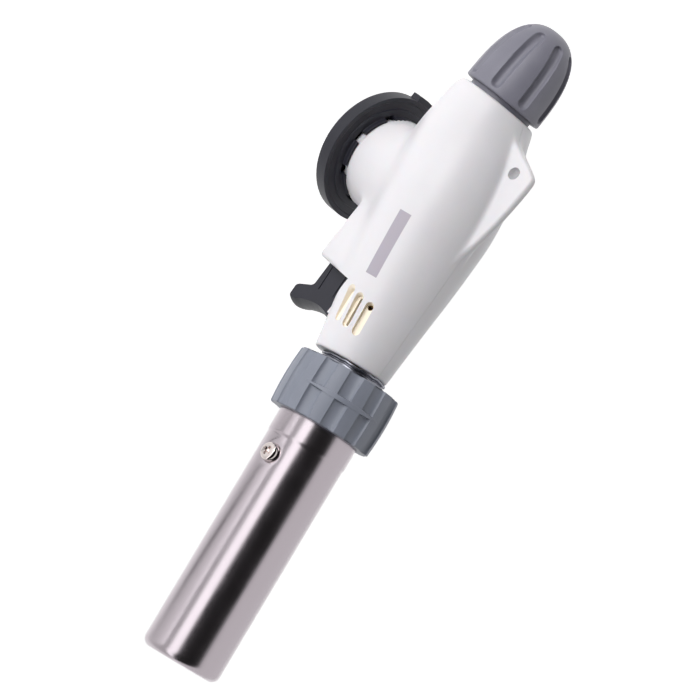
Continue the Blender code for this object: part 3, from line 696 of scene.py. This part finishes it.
def make_collar(look):
    """The air collar: a barrelled ring with twelve hollows along it, bridged by a rib on two opposite sides.

    Radius = a shallow barrel, less a hollow where the distance from a hollow's middle is under its half
    width. A rib is a lens: its half width falls as the square root of 1 - (angle from its middle / reach)^2.
    """
    rear, middle, front = 1.1, 9.6, 18.6
    spots = (rear, front, middle - 0.6, middle, middle + 0.6)
    z_outer = dense(rear + 0.02, front - 0.02, 130, spots, 0.4, 8.0)
    share = (z_outer - (rear + front) / 2) / ((front - rear) / 2)
    barrel = look.collar_radius - 0.45 * share**2
    edge = np.minimum(z_outer - rear, front - z_outer)
    barrel = barrel - 0.35 * (1 - np.sqrt(np.clip(1 - (1 - np.clip(edge / 0.35, 0, 1))**2, 0, 1)))
    outer = np.column_stack([barrel, z_outer])
    inner = [(14.9, front), (12.6, front), (12.4, front - 0.2), (12.4, 16.6), (14.2, 16.0), (14.2, 3.6),
             (12.4, 3.2), (12.4, rear + 0.2), (12.6, rear), (14.9, rear)]
    profile = np.vstack([outer, inner, outer[:1]])
    r, a, z = turning(profile, full_turn(696))
    on_skin = r > inner[0][0] + 0.01
    lens = np.zeros_like(r)
    for facing in (look.rib_facing - 180, look.rib_facing):
        lens = np.maximum(lens, 1 - (np.degrees(angle_off(a, math.radians(facing))) / look.rib_reach)**2)
    rib = smooth_step(look.rib_width / 2 * np.sqrt(lens) - 0.2 - np.abs(z - middle), -0.15, 0.15)
    half = look.hollow_width / 2
    for turned in np.radians(look.hollow_turn + 30 * np.arange(12)):
        bowl = np.sqrt(np.clip(1 - (r * angle_off(a, turned) / half)**2, 0, 1))
        r = np.where(on_skin, r - look.hollow_depth * bowl * (1 - rib), r)
    r = np.where(on_skin, r + 0.1 * rib, r)
    collar = build("air_collar_grip", [round_grid(r, a, z)], ALONG_TUBE, sharp=38)
    return give(collar, FINISHES["collar"], "collar", "collar_grey", "air_collar")


def make_ring():
    """The canister ring: a turned disc with a raised inner rim that eight notches open.

    Height of the rim = its full height, less a flat-bottomed dip near each notch's angle; a locating lug
    bulges from the outer edge on the knob's side.
    """
    rim, notch, edge, lug_half, floor = 13.9, 1.5, 20.0, 3.4, 3.4
    profile = closed(rounded([(13.4, 3.0), (13.4, 6.2), (14.3, 6.2), (14.3, 4.7), (16.4, 4.7), (16.4, 4.1),
                              (18.6, 4.1), (18.6, 4.4), (edge, 4.4), (edge, 4.0), (edge, 0.9), (edge, 0.0),
                              (18.2, 0.0), (18.2, 1.0), (6.5, 1.0), (6.5, 3.0)], 0.3, 5))
    marks = [math.radians(-50 + 45 * k) for k in range(8)]
    sides = [(mark + math.asin(s * notch / rim)) % (2 * math.pi) for mark in marks for s in (-1, 1)]
    lug_reach = math.asin(lug_half / edge)
    sides += [math.pi - lug_reach, math.pi + lug_reach]
    r, a, z = turning(profile, dense(0, 2 * math.pi, 620, sides, 0.02, 9.0))
    dip = np.zeros_like(r)
    for mark in marks:
        off = np.abs(rim * np.sin(angle_off(a, mark)))
        off = np.where(np.cos(angle_off(a, mark)) > 0, off, 99)
        dip = np.maximum(dip, smooth_step(off, notch + 0.15, notch - 0.15))
    z = np.where((z > floor) & (r < 14.6), z - dip * (z - floor), z)
    off = np.abs(edge * np.sin(angle_off(a, math.pi)))
    lug = smooth_step(off, lug_half + 0.15, lug_half - 0.2) * (np.cos(a) < 0)
    r = np.where((r > 19.5) & (z > 0.7) & (z < 4.1), r + 1.7 * lug, r)
    ring = build("canister_ring_moulding", [round_grid(r, a, z)], UPRIGHT, sharp=40)
    return give(ring, FINISHES["black"], "torch", "ring_black", "canister_ring")


def make_tube():
    """The burner tube: a thin turned wall whose mouth rolls in, with a shallow dimple round each screw."""
    wide, wall, mouth, lip = 12.03, 0.6, TUBE_MOUTH, 2.5
    bend = np.linspace(QUARTER, 0, 14)
    outer = np.column_stack([wide - lip + lip * np.cos(bend), mouth - lip + lip * np.sin(bend)])
    thin = lip - wall
    inner = np.column_stack([wide - lip + thin * np.cos(bend), mouth - lip + thin * np.sin(bend)])[::-1]
    s = dense(mouth - lip - 0.5, 1.6, 170, (TUBE_SCREW, TUBE_STEP), 3.0, 5.0)
    grown = wide + 0.25 * smooth_step(s, TUBE_STEP + 0.5, TUBE_STEP - 0.5)
    body = np.column_stack([grown, s])
    bore = [(wide - wall, 1.6), (wide - wall, 30.0), (wide - wall, 60.0), (wide - wall, 92.0)]
    roll = [(9.35, mouth - 0.9), (9.0, mouth - wall / 2), (9.2, mouth)]
    profile = np.vstack([outer, body, bore, inner, roll, outer[:1]])
    screws = (QUARTER, 3 * QUARTER)
    r, a, z = turning(profile, dense(0, 2 * math.pi, 260, screws, 0.35, 4.0))
    for middle in screws:
        away = np.hypot(z - TUBE_SCREW, r * angle_off(a, middle))
        r = np.where(r > 11.9, r - 0.28 * np.exp(-(away / 3.1)**4), r)
    tube = build("burner_tube_skin", [round_grid(r, a, z)], ALONG_TUBE, sharp=50)
    return give(tube, FINISHES["steel"], "torch", "stainless", "burner_tube")


def make_flange():
    """The manifold: a turned tube with air ports, whose rear flange shows between the shell and the collar.

    The flange's edge waves by a sum of three sines of the angle. The tube behind it shows brass in the vents.
    """
    brass_from = -2.5
    profile = closed(rounded([(11.1, 6.0), (11.1, 0.8), (10.3, 0.8), (10.3, 0.15), (9.7, 0.0), (9.7, -0.35),
                              (10.3, -0.5), (10.3, -1.1), (7.0, -1.1), (7.0, -27.0), (2.3, -27.0),
                              (2.3, -24.5), (5.4, -24.5), (5.4, 6.0)], 0.22, 4))
    r, a, z = turning(profile, full_turn(180))
    ripple = 0.12 * np.sin(5 * a + 0.6) + 0.09 * np.sin(11 * a + 2.0) + 0.05 * np.sin(23 * a)
    z = np.where((r > 9.3) & (z < 0.5), z + ripple, z)
    flange = build("burner_manifold_casting", [round_grid(r, a, z)], ALONG_TUBE)
    ports = [block("port_y", (-2.2, -9, -18), (2.2, 9, -8), ALONG_TUBE),
             block("port_x", (-9, -2.2, -18), (9, 2.2, -8), ALONG_TUBE)]
    for each in (flange, *ports):
        each.data.materials.append(FINISHES["flange"])
    carve(flange, *ports)
    flange.data.materials.append(FINISHES["brass"])
    for face in flange.data.polygons:
        face.material_index = int((face.center - TUBE_START).dot(TUBE_AXIS) < brass_from * MM)
    return give(flange, None, "torch", "zinc_casting", "burner_manifold")


def screw_mesh(name, profile, head, recess, place):
    """A screw: a turned body whose head is sunk by a cross.

    Height of the head = its dome, less the recess's depth times a cross of two bars, which taper off with
    the distance from the middle.
    """
    profile = np.asarray(profile, float)
    r, a, z = turning(profile, full_turn(144))
    x, y = r * np.cos(a + 0.35), r * np.sin(a + 0.35)
    reach = recess * 1.05
    taper = np.clip(1 - np.hypot(x, y) / reach, 0, 1)
    bar = recess * 0.26
    cross = smooth_step(np.minimum(np.abs(x), np.abs(y)), bar * 1.3, bar * 0.7)
    sink = recess * 0.95 * cross * np.sqrt(taper)
    z = np.where(z > head, z - sink, z)
    return build(name, [round_grid(r, a, z)], place)


def domed(head_radius, top, low, shank, bottom):
    """A pan head's profile from its middle to the shank's tip: a slight dome, a round shoulder, the shank."""
    share = np.linspace(0, 1, 34)
    flat, fall, edge = head_radius * 0.62, 0.06, low + 0.3
    dome = np.column_stack([flat * share, top - fall * share**2])
    bend = np.linspace(0.1, QUARTER, 12)
    shoulder = np.column_stack([flat + (head_radius - flat) * np.sin(bend),
                                edge + (top - fall - edge) * np.cos(bend)])
    return np.vstack([dome, shoulder, [(head_radius, low), (shank, low), (shank, bottom + 0.5), (0, bottom)]])


def make_screws(look):
    """Tube screws on both sides, shell screws on the far side and hub screws underneath."""
    screws = []
    for side, turned in (("near", 0), ("far", 180)):
        screws.append((f"tube_screw_{side}", domed(look.screw_head, 13.75, 12.0, 1.0, 7.5), 12.5, 1.35,
                       across_tube(TUBE_SCREW, turned)))
    for count, (x, z) in enumerate(SHELL_SCREWS, 1):
        screws.append((f"shell_screw_{count}", domed(2.4, 7.4, 5.7, 1.1, -5.0), 6.2, 1.2, across(x, z)))
    for count in range(3):
        a = math.radians(30 + 120 * count)
        spot = Vector((math.cos(a), math.sin(a), 0)) * HUB_SCREWS
        place = Matrix.Translation(spot) @ Matrix.Rotation(math.pi, 4, "X")
        screws.append((f"hub_screw_{count + 1}", domed(1.9, 1.9, 0.62, 1.0, -7.0), 1.0, 0.95, place))
    for name, profile, head, recess, place in screws:
        screw = screw_mesh(name + "_head", profile, head, recess, place)
        give(screw, FINISHES["nickel"], "torch", "nickel_steel", name)


def make_trigger(look):
    """The trigger: its side outline carried across its width, with the finger face crowned along the middle.

    A point of the outline moves forward by the crown times (1 - share of the half width squared), and only
    where the outline belongs to the finger face.
    """
    half = 4.5
    outline = closed(rounded([
        (30.8, 28.2), (30.8, 18.3), (39.6, 18.75), (40.4, 18.2), (42.5, 13.9), (43.3, 13.2), (46.4, 13.5),
        (47.0, 14.3), (46.6, 15.6), (45.6, 17.5), (44.7, 20.0), (44.0, 22.5), (43.6, 25.0), (43.7, 27.5),
        (44.2, 30.2), (44.2, 31.2), (33.8, 31.2)], 0.5, 4))
    levels = np.concatenate([[-half], np.linspace(0.2 - half, half - 0.2, 23), [half]])[:, None]
    x = outline[None, :, 0] + 0 * levels
    z = outline[None, :, 1] + 0 * levels
    y = levels + 0 * x
    face = smooth_step(x, 42.9, 43.7) * smooth_step(z, 30.5, 28.0)
    x = x + look.crown * face * (1 - (levels / half)**2)
    trigger = build("trigger_lever", [np.stack([x, y, z], axis=-1)], UPRIGHT, end_caps(*x.shape), sharp=45)
    trigger.data.materials.append(FINISHES["black"])
    grooves = []
    for side in (-1, 1):
        for x0, z0, x1, z1 in ((32.1, 26.9, 39.4, 27.75), (32.5, 20.25, 40.2, 21.4)):
            length, lean = math.hypot(x1 - x0, z1 - z0), math.atan2(z1 - z0, x1 - x0)
            place = (Matrix.Translation(((x0 + x1) / 2, side * half, (z0 + z1) / 2))
                     @ Matrix.Rotation(-lean, 4, "Y") @ Matrix.Rotation(QUARTER, 4, "X"))
            slot = stadium(length, 0.4, 6)
            grooves.append(prism(f"groove_{side}_{x0}", slot, ((-0.35, 0), (0.35, 0)), place))
    socket = rod("socket", 2.9, 29.0, 41.5, place_along((1, 0, 0), (0, 0, PIEZO_HEIGHT * MM)))
    carve(trigger, socket, *grooves)
    soften = trigger.modifiers.new("soften", "BEVEL")
    soften.width = 0.28 * MM
    soften.segments = 3
    soften.limit_method = "ANGLE"
    soften.angle_limit = math.radians(50)
    return give(trigger, FINISHES["black"], "trigger_slider", "ring_black", "trigger")


def make_coupling():
    """What meets the canister: the bayonet plate with three lugs, the inlet nipple and its seal.

    The seal's section is a superellipse: radius and height follow cosine and sine, each to the power of 0.7.
    """
    lug_half = 0.3
    lugs = [math.radians(90 + 120 * k) for k in range(3)]
    profile = closed(rounded([(10.6, 0.7), (10.6, -2.5), (10.6, -2.8), (10.6, -3.8), (9.6, -3.8), (9.6, -0.3),
                              (5.2, -0.3), (5.2, 0.7)], 0.2, 4))
    edges = [lug + s * lug_half for lug in lugs for s in (-1, 1)]
    r, a, z = turning(profile, dense(0, 2 * math.pi, 300, edges, 0.04, 8.0))
    for lug in lugs:
        bulge = smooth_step(np.abs(angle_off(a, lug)), lug_half + 0.015, lug_half - 0.015)
        r = np.where((r > 10.3) & (z < -2.55), r + 1.8 * bulge, r)
    plate = build("bayonet_plate_casting", [round_grid(r, a, z)])
    give(plate, FINISHES["zinc"], "torch", "zinc_casting", "bayonet_plate")
    nipple = closed(rounded([(3.0, 15.4), (3.0, 3.1), (4.6, 3.1), (4.6, 0.4), (1.9, 0.4), (1.9, -5.9),
                             (1.3, -6.5), (0.6, -6.5), (0.6, 15.4)], 0.15, 4))
    piece = build("inlet_nipple_turned", [round_grid(*turning(nipple, full_turn(64)))])
    give(piece, FINISHES["brass"], "torch", "brass", "inlet_nipple")
    a = full_turn(20)
    seal = np.column_stack([3.3 + 1.05 * np.sign(np.cos(a)) * np.abs(np.cos(a))**0.7,
                            -0.75 + 0.83 * np.sign(np.sin(a)) * np.abs(np.sin(a))**0.7])
    piece = build("inlet_seal_ring", [round_grid(*turning(seal, full_turn(64)))])
    give(piece, FINISHES["rubber"], "torch", "rubber", "inlet_seal")


def make_spring():
    """The trigger's return spring at rest: a round wire along a helix. The real one shortens under a pull.

    The wire's circle is spanned by the direction away from the axis and by the cross product of that
    direction with the helix's tangent.
    """
    rear, front, radius, wire, turns = 11.3, 21.6, 1.9, 0.3, 6
    t = np.linspace(0, turns * 2 * math.pi, turns * 28 + 1)[:, None, None]
    c = full_turn(12)[None, :, None]
    along, out = np.array([1.0, 0, 0]), np.concatenate([0 * t, np.cos(t), np.sin(t)], axis=2)
    pitch = (front - rear) / (turns * 2 * math.pi)
    tangent = np.concatenate([0 * t + pitch, -radius * np.sin(t), radius * np.cos(t)], axis=2)
    sideways = np.cross(tangent / np.hypot(radius, pitch), out)
    middle = (rear + pitch * t) * along + radius * out
    grid = middle + wire * (np.cos(c) * out + np.sin(c) * sideways)
    spring = build("return_spring_coil", [grid], Matrix.Translation((0, 0, PIEZO_HEIGHT)),
                   end_caps(*grid.shape[:2]), sharp=60)
    give(spring, FINISHES["nickel"], "torch", "nickel_steel", "piezo_spring")
    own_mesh(spring)


def dress_frame():
    """The frame's own inner pieces keep their shape and take their finish."""
    kept = {
        "zinc": ("valve_body",), "copper": ("gas_tube",), "ceramic": ("electrode_insulator",),
        "brass": ("gland_nut", "jet_nozzle", "flame_holder"),
        "nickel": ("valve_spindle", "valve_needle", "spark_electrode"),
        "steel": ("mixing_tube",), "rubber": ("spindle_o_ring",), "silicone": ("ignition_lead",),
        "black": ("piezo_case",), "white": ("piezo_plunger",),
    }
    for key, names in kept.items():
        for name in names:
            NODES[name].data.materials.clear()
            NODES[name].data.materials.append(FINISHES[key])


# ---------------------------------------------------------------- the stage

# Lengths here are metres. The polished tube mirrors the card.
FLOOR = ((-6.0, -6.0), (6.0, -6.0), (6.0, 6.0), (-6.0, 6.0))
CARD = ((0.20, -0.09), (0.20, -0.20), (0.09, -0.535), (0.09, -0.475))
LAMP_DISTANCE = 1.2
GAP_END = 2.5                    # half the width, in degrees, of the sky gap's sharper edge


def put(name, data, place=UPRIGHT):
    """A new object in the scene, at a place in metres."""
    made = bpy.data.objects.new(name, data)
    made.matrix_world = place
    bpy.context.scene.collection.objects.link(made)
    return made


def make_sheet(name, corners, height, material):
    """A flat sheet for the stage, from the (x, y) of its corners and its height, in metres."""
    mesh = bpy.data.meshes.new(name)
    mesh.from_pydata([(x, y, height) for x, y in corners], [], [(0, 1, 2, 3)])
    mesh.materials.append(material)
    put(name, mesh)


def floor_paper(look):
    """White paper: a fine fibre bump, lit a little from within, less in front of the torch than behind it."""
    paper, tree, shader = finish("white paper sweep", "#FFFFFF", 0.9)
    shader.inputs["Emission Color"].default_value = (1, 1, 1, 1)
    where = node(tree, "ShaderNodeTexCoord").outputs["Object"]
    away = node(tree, "ShaderNodeSeparateXYZ", {"Vector": where}).outputs["Y"]
    glow = node(tree, "ShaderNodeMapRange", {"Value": away}, interpolation_type="SMOOTHSTEP",
                in_From_Min=-0.2, in_From_Max=0.1, in_To_Min=look.front_glow, in_To_Max=look.floor_glow)
    tree.links.new(glow.outputs["Result"], shader.inputs["Emission Strength"])
    fibre = node(tree, "ShaderNodeTexNoise", {"Vector": where}, in_Scale=1 / (0.8 * MM))
    roughen(tree, shader, fibre, 0.02)
    return paper


def make_camera(look, target):
    """The camera, a metre from its target, turned by azimuth, elevation and roll."""
    a, e, roll = (math.radians(v) for v in (look.azimuth, look.elevation, look.roll))
    back = Vector((math.sin(a) * math.cos(e), -math.cos(a) * math.cos(e), math.sin(e)))
    level = Vector((math.cos(a), math.sin(a), 0))
    upward = back.cross(level)
    right = level * math.cos(roll) + upward * math.sin(roll)
    up = upward * math.cos(roll) - level * math.sin(roll)
    camera = bpy.data.cameras.new("camera")
    camera.lens = look.lens
    camera.clip_end = 20
    place = Matrix.Translation(target + back) @ Matrix((right, up, back)).transposed().to_4x4()
    bpy.context.scene.camera = put("camera", camera, place)


def make_stage(look):
    """A pale floor below the torch, a black card on it, two large soft lights, the camera and the sky."""
    depth = CAD_BOX[0][2] - look.floor_drop
    make_sheet("floor", FLOOR, depth, floor_paper(look))
    card = moulded("black card", "#101013", 0.9, "#1C1C20", 2.0, 0.05)[0]
    make_sheet("dark_slot", CARD, depth + MM, card)
    target = Vector(look.aim) * MM
    make_camera(look, target)
    lamps = ((look.key_from, look.key_size, look.key_power),
             (look.fill_from, look.fill_size, look.fill_power))
    for count, (direction, size, power) in enumerate(lamps):
        lamp = bpy.data.lights.new(f"soft_light_{count}", "AREA")
        lamp.shape = "RECTANGLE"
        lamp.size, lamp.size_y = size
        lamp.energy = power
        towards = Vector(direction).normalized()
        turn = towards.to_track_quat("Z", "Y").to_matrix().to_4x4()
        holder = put(lamp.name, lamp, Matrix.Translation(target + towards * LAMP_DISTANCE) @ turn)
        holder.visible_glossy = count == 0
    make_sky(look)
    bpy.context.scene.view_settings.view_transform = "Standard"


def make_sky(look):
    """The studio round the torch: pale, with a dark gap, a band across the sky that polished metal mirrors.

    The brightness follows the angle round the X axis, from behind, over the top, to the front.
    """
    world = bpy.data.worlds.new("studio")
    bpy.context.scene.world = world
    world.use_nodes = True
    tree = world.node_tree
    back = tree.nodes["Background"]
    where = node(tree, "ShaderNodeTexCoord").outputs["Generated"]
    parts = node(tree, "ShaderNodeSeparateXYZ", {"Vector": where})
    height = node(tree, "ShaderNodeMath", {0: parts.outputs["Z"], 1: parts.outputs["Y"]}, operation="ARCTAN2")
    turn = node(tree, "ShaderNodeMapRange", {"Value": height.outputs[0]}, in_From_Min=-math.pi,
                in_From_Max=math.pi)
    ramp = node(tree, "ShaderNodeValToRGB", {"Fac": turn.outputs["Result"]})
    points = ramp.color_ramp.elements
    points[0].color = (look.sky_back, look.sky_back, look.sky_back, 1)
    points[1].color = (1, 1, 1, 1)
    stops = ((look.gap_low - look.gap_soft, look.sky_back), (look.gap_low + look.gap_soft, look.sky_gap),
             (look.gap_high - GAP_END, look.sky_gap), (look.gap_high + GAP_END, 1.0))
    for degrees, level in stops:
        points.new((degrees + 180) / 360).color = (level, level, level, 1)
    tree.links.new(ramp.outputs["Color"], back.inputs["Color"])
    back.inputs["Strength"].default_value = look.sky


# ---------------------------------------------------------------- what a user may change

def amount(text, value, unit="NONE"):
    return bpy.props.FloatProperty(name=text, description=text, default=value, unit=unit)


def hex_code(text, value):
    return bpy.props.StringProperty(name=text, description=text + ", as an sRGB hex code", default=value)


def several(text, value, subtype="NONE"):
    return bpy.props.FloatVectorProperty(name=text, description=text, default=value, size=len(value),
                                         subtype=subtype)


class TorchShape(bpy.types.PropertyGroup):
    """Sizes of the torch's own pieces, in millimetres."""
    skirt_fillet: amount("Fillet between barrel and skirt (mm)", 5.0)
    boss_fillet: amount("Fillet round the boss (mm)", 2.3)
    fin_fillet: amount("Fillet at the fin's foot (mm)", 1.7)
    wall: amount("Shell wall (mm)", 2.9)
    belly: amount("Height of the cut over the trigger, where it starts at the skirt (mm)", 36.0)
    vent_depth: amount("Depth of the vents' recesses (mm)", 1.4)
    vent_length: amount("Vent length (mm)", 10.0)
    vent_width: amount("Vent width (mm)", 2.4)
    knob_radius: amount("Knob radius (mm)", 12.8)
    groove_width: amount("Half width of a knob groove (mm)", 1.6)
    groove_depth: amount("Depth of a knob groove (mm)", 1.5)
    groove_start: amount("Middle of a groove's round end, from the knob's base (mm)", 2.9)
    groove_end: amount("Middle of its other end (mm)", 20.2)
    collar_radius: amount("Collar radius (mm)", 16.2)
    hollow_width: amount("Width of a collar hollow (mm)", 4.4)
    hollow_depth: amount("Depth of a collar hollow (mm)", 1.15)
    rib_width: amount("Width of the rib across the collar's hollows (mm)", 2.0)
    rib_reach: amount("Reach of the rib each way round the collar (degrees)", 47.0)
    rib_facing: amount("Middle of the rib, round the collar from its lowest point (degrees)", 220.0)
    hollow_turn: amount("Turn of the hollows round the collar (degrees)", 11.5)
    screw_head: amount("Radius of a tube screw's head (mm)", 2.85)
    crown: amount("Crown of the trigger's finger face (mm)", 1.2)
    panel_place: several("Middle of the printed panel (mm)", (17.4, -15.0, 41.8), "XYZ")
    panel_length: amount("Length of the printed panel (mm)", 20.0)
    panel_height: amount("Height of the printed panel (mm)", 3.9)
    panel_lean: amount("Lean of the printed panel (degrees)", 7.6)
    shell_colour: hex_code("Shell colour", "#D4D2D5")
    knob_colour: hex_code("Knob colour", "#666570")
    collar_colour: hex_code("Collar colour", "#717580")
    black_colour: hex_code("Ring and trigger colour", "#1A1A23")
    panel_colour: hex_code("Printed panel colour", "#A29CA6")


class TorchStage(bpy.types.PropertyGroup):
    """The floor, the lights and the camera."""
    azimuth: amount("Camera azimuth (degrees)", -2.49)
    elevation: amount("Camera elevation (degrees)", 42.76)
    roll: amount("Camera roll (degrees)", 130.67)
    lens: amount("Lens (mm)", 181.7, "CAMERA")
    aim: several("Point that the camera looks at (mm)", (47.68, 0.0, 41.69), "XYZ")
    floor_drop: amount("Floor below the torch (m)", 0.35, "LENGTH")
    floor_glow: amount("Floor glow behind the torch", 0.5)
    front_glow: amount("Floor glow in front of it", 0.1)
    key_from: several("Direction of the key light", (-0.5, -1.0, 0.3), "DIRECTION")
    key_size: several("Size of the key light (m)", (0.5, 0.4))
    key_power: amount("Key light (W)", 2.0, "POWER")
    fill_from: several("Direction of the fill light", (-0.2, -1.0, 0.05), "DIRECTION")
    fill_size: several("Size of the fill light (m)", (0.9, 0.9))
    fill_power: amount("Fill light (W)", 8.0, "POWER")
    sky: amount("Sky brightness", 1.9)
    sky_back: amount("Share of the sky's brightness behind the torch", 0.45)
    sky_gap: amount("Share of the sky's brightness in the dark gap", 0.008)
    gap_low: amount("Start of the dark gap (degrees from the back, over the top)", 84.0)
    gap_high: amount("End of the dark gap (degrees from the back, over the top)", 155.0)
    gap_soft: amount("Softness of the dark gap's start (degrees)", 5.0)


# ---------------------------------------------------------------- operators and panel

class TORCH_OT_stage(bpy.types.Operator):
    """Set the floor, the card, the lights, the sky and the camera"""
    bl_idname = "torch.stage"
    bl_label = "Stage"

    def execute(self, context):
        make_stage(context.scene.torch_stage)
        return {"FINISHED"}


class TORCH_OT_finishes(bpy.types.Operator):
    """Make the finishes and dress the frame's inner pieces"""
    bl_idname = "torch.finishes"
    bl_label = "Finishes"

    def execute(self, context):
        make_finishes(context.scene.torch_shape)
        dress_frame()
        return {"FINISHED"}


class TORCH_OT_shells(bpy.types.Operator):
    """Build the two halves of the moulded body"""
    bl_idname = "torch.shells"
    bl_label = "Body shells"

    def execute(self, context):
        make_shell(context.scene.torch_shape, "body_shell_near", -1)
        make_shell(context.scene.torch_shape, "body_shell_far", 1)
        return {"FINISHED"}


class TORCH_OT_knob(bpy.types.Operator):
    """Build the flow knob"""
    bl_idname = "torch.knob"
    bl_label = "Knob"

    def execute(self, context):
        make_knob(context.scene.torch_shape)
        return {"FINISHED"}


class TORCH_OT_ring(bpy.types.Operator):
    """Build the canister ring and the coupling under it"""
    bl_idname = "torch.ring"
    bl_label = "Ring and coupling"

    def execute(self, context):
        make_ring()
        make_coupling()
        return {"FINISHED"}


class TORCH_OT_burner(bpy.types.Operator):
    """Build the burner tube, its manifold and the air collar"""
    bl_idname = "torch.burner"
    bl_label = "Burner and collar"

    def execute(self, context):
        make_tube()
        make_flange()
        make_collar(context.scene.torch_shape)
        return {"FINISHED"}


class TORCH_OT_trigger(bpy.types.Operator):
    """Build the trigger and its return spring"""
    bl_idname = "torch.trigger"
    bl_label = "Trigger"

    def execute(self, context):
        make_trigger(context.scene.torch_shape)
        make_spring()
        return {"FINISHED"}


class TORCH_OT_screws(bpy.types.Operator):
    """Build the screws"""
    bl_idname = "torch.screws"
    bl_label = "Screws"

    def execute(self, context):
        make_screws(context.scene.torch_shape)
        return {"FINISHED"}


STEPS = (TORCH_OT_stage, TORCH_OT_finishes, TORCH_OT_shells, TORCH_OT_knob, TORCH_OT_ring, TORCH_OT_burner,
         TORCH_OT_trigger, TORCH_OT_screws)


class TORCH_PT_panel(bpy.types.Panel):
    """Lists the steps that build the torch"""
    bl_idname = "TORCH_PT_panel"
    bl_label = "Gas Torch Head"
    bl_space_type = "VIEW_3D"
    bl_region_type = "UI"
    bl_category = "Torch"

    def draw(self, context):
        for step in STEPS:
            self.layout.operator(step.bl_idname)


CLASSES = (TorchShape, TorchStage, *STEPS, TORCH_PT_panel)


def register():
    for each in CLASSES:
        bpy.utils.register_class(each)
    bpy.types.Scene.torch_shape = bpy.props.PointerProperty(type=TorchShape)
    bpy.types.Scene.torch_stage = bpy.props.PointerProperty(type=TorchStage)


def unregister():
    del bpy.types.Scene.torch_shape
    del bpy.types.Scene.torch_stage
    for each in reversed(CLASSES):
        bpy.utils.unregister_class(each)


def main():
    register()
    for name in ("stage", "finishes", "shells", "knob", "ring", "burner", "trigger", "screws"):
        getattr(bpy.ops.torch, name)()


if __name__ == "__main__":
    main()
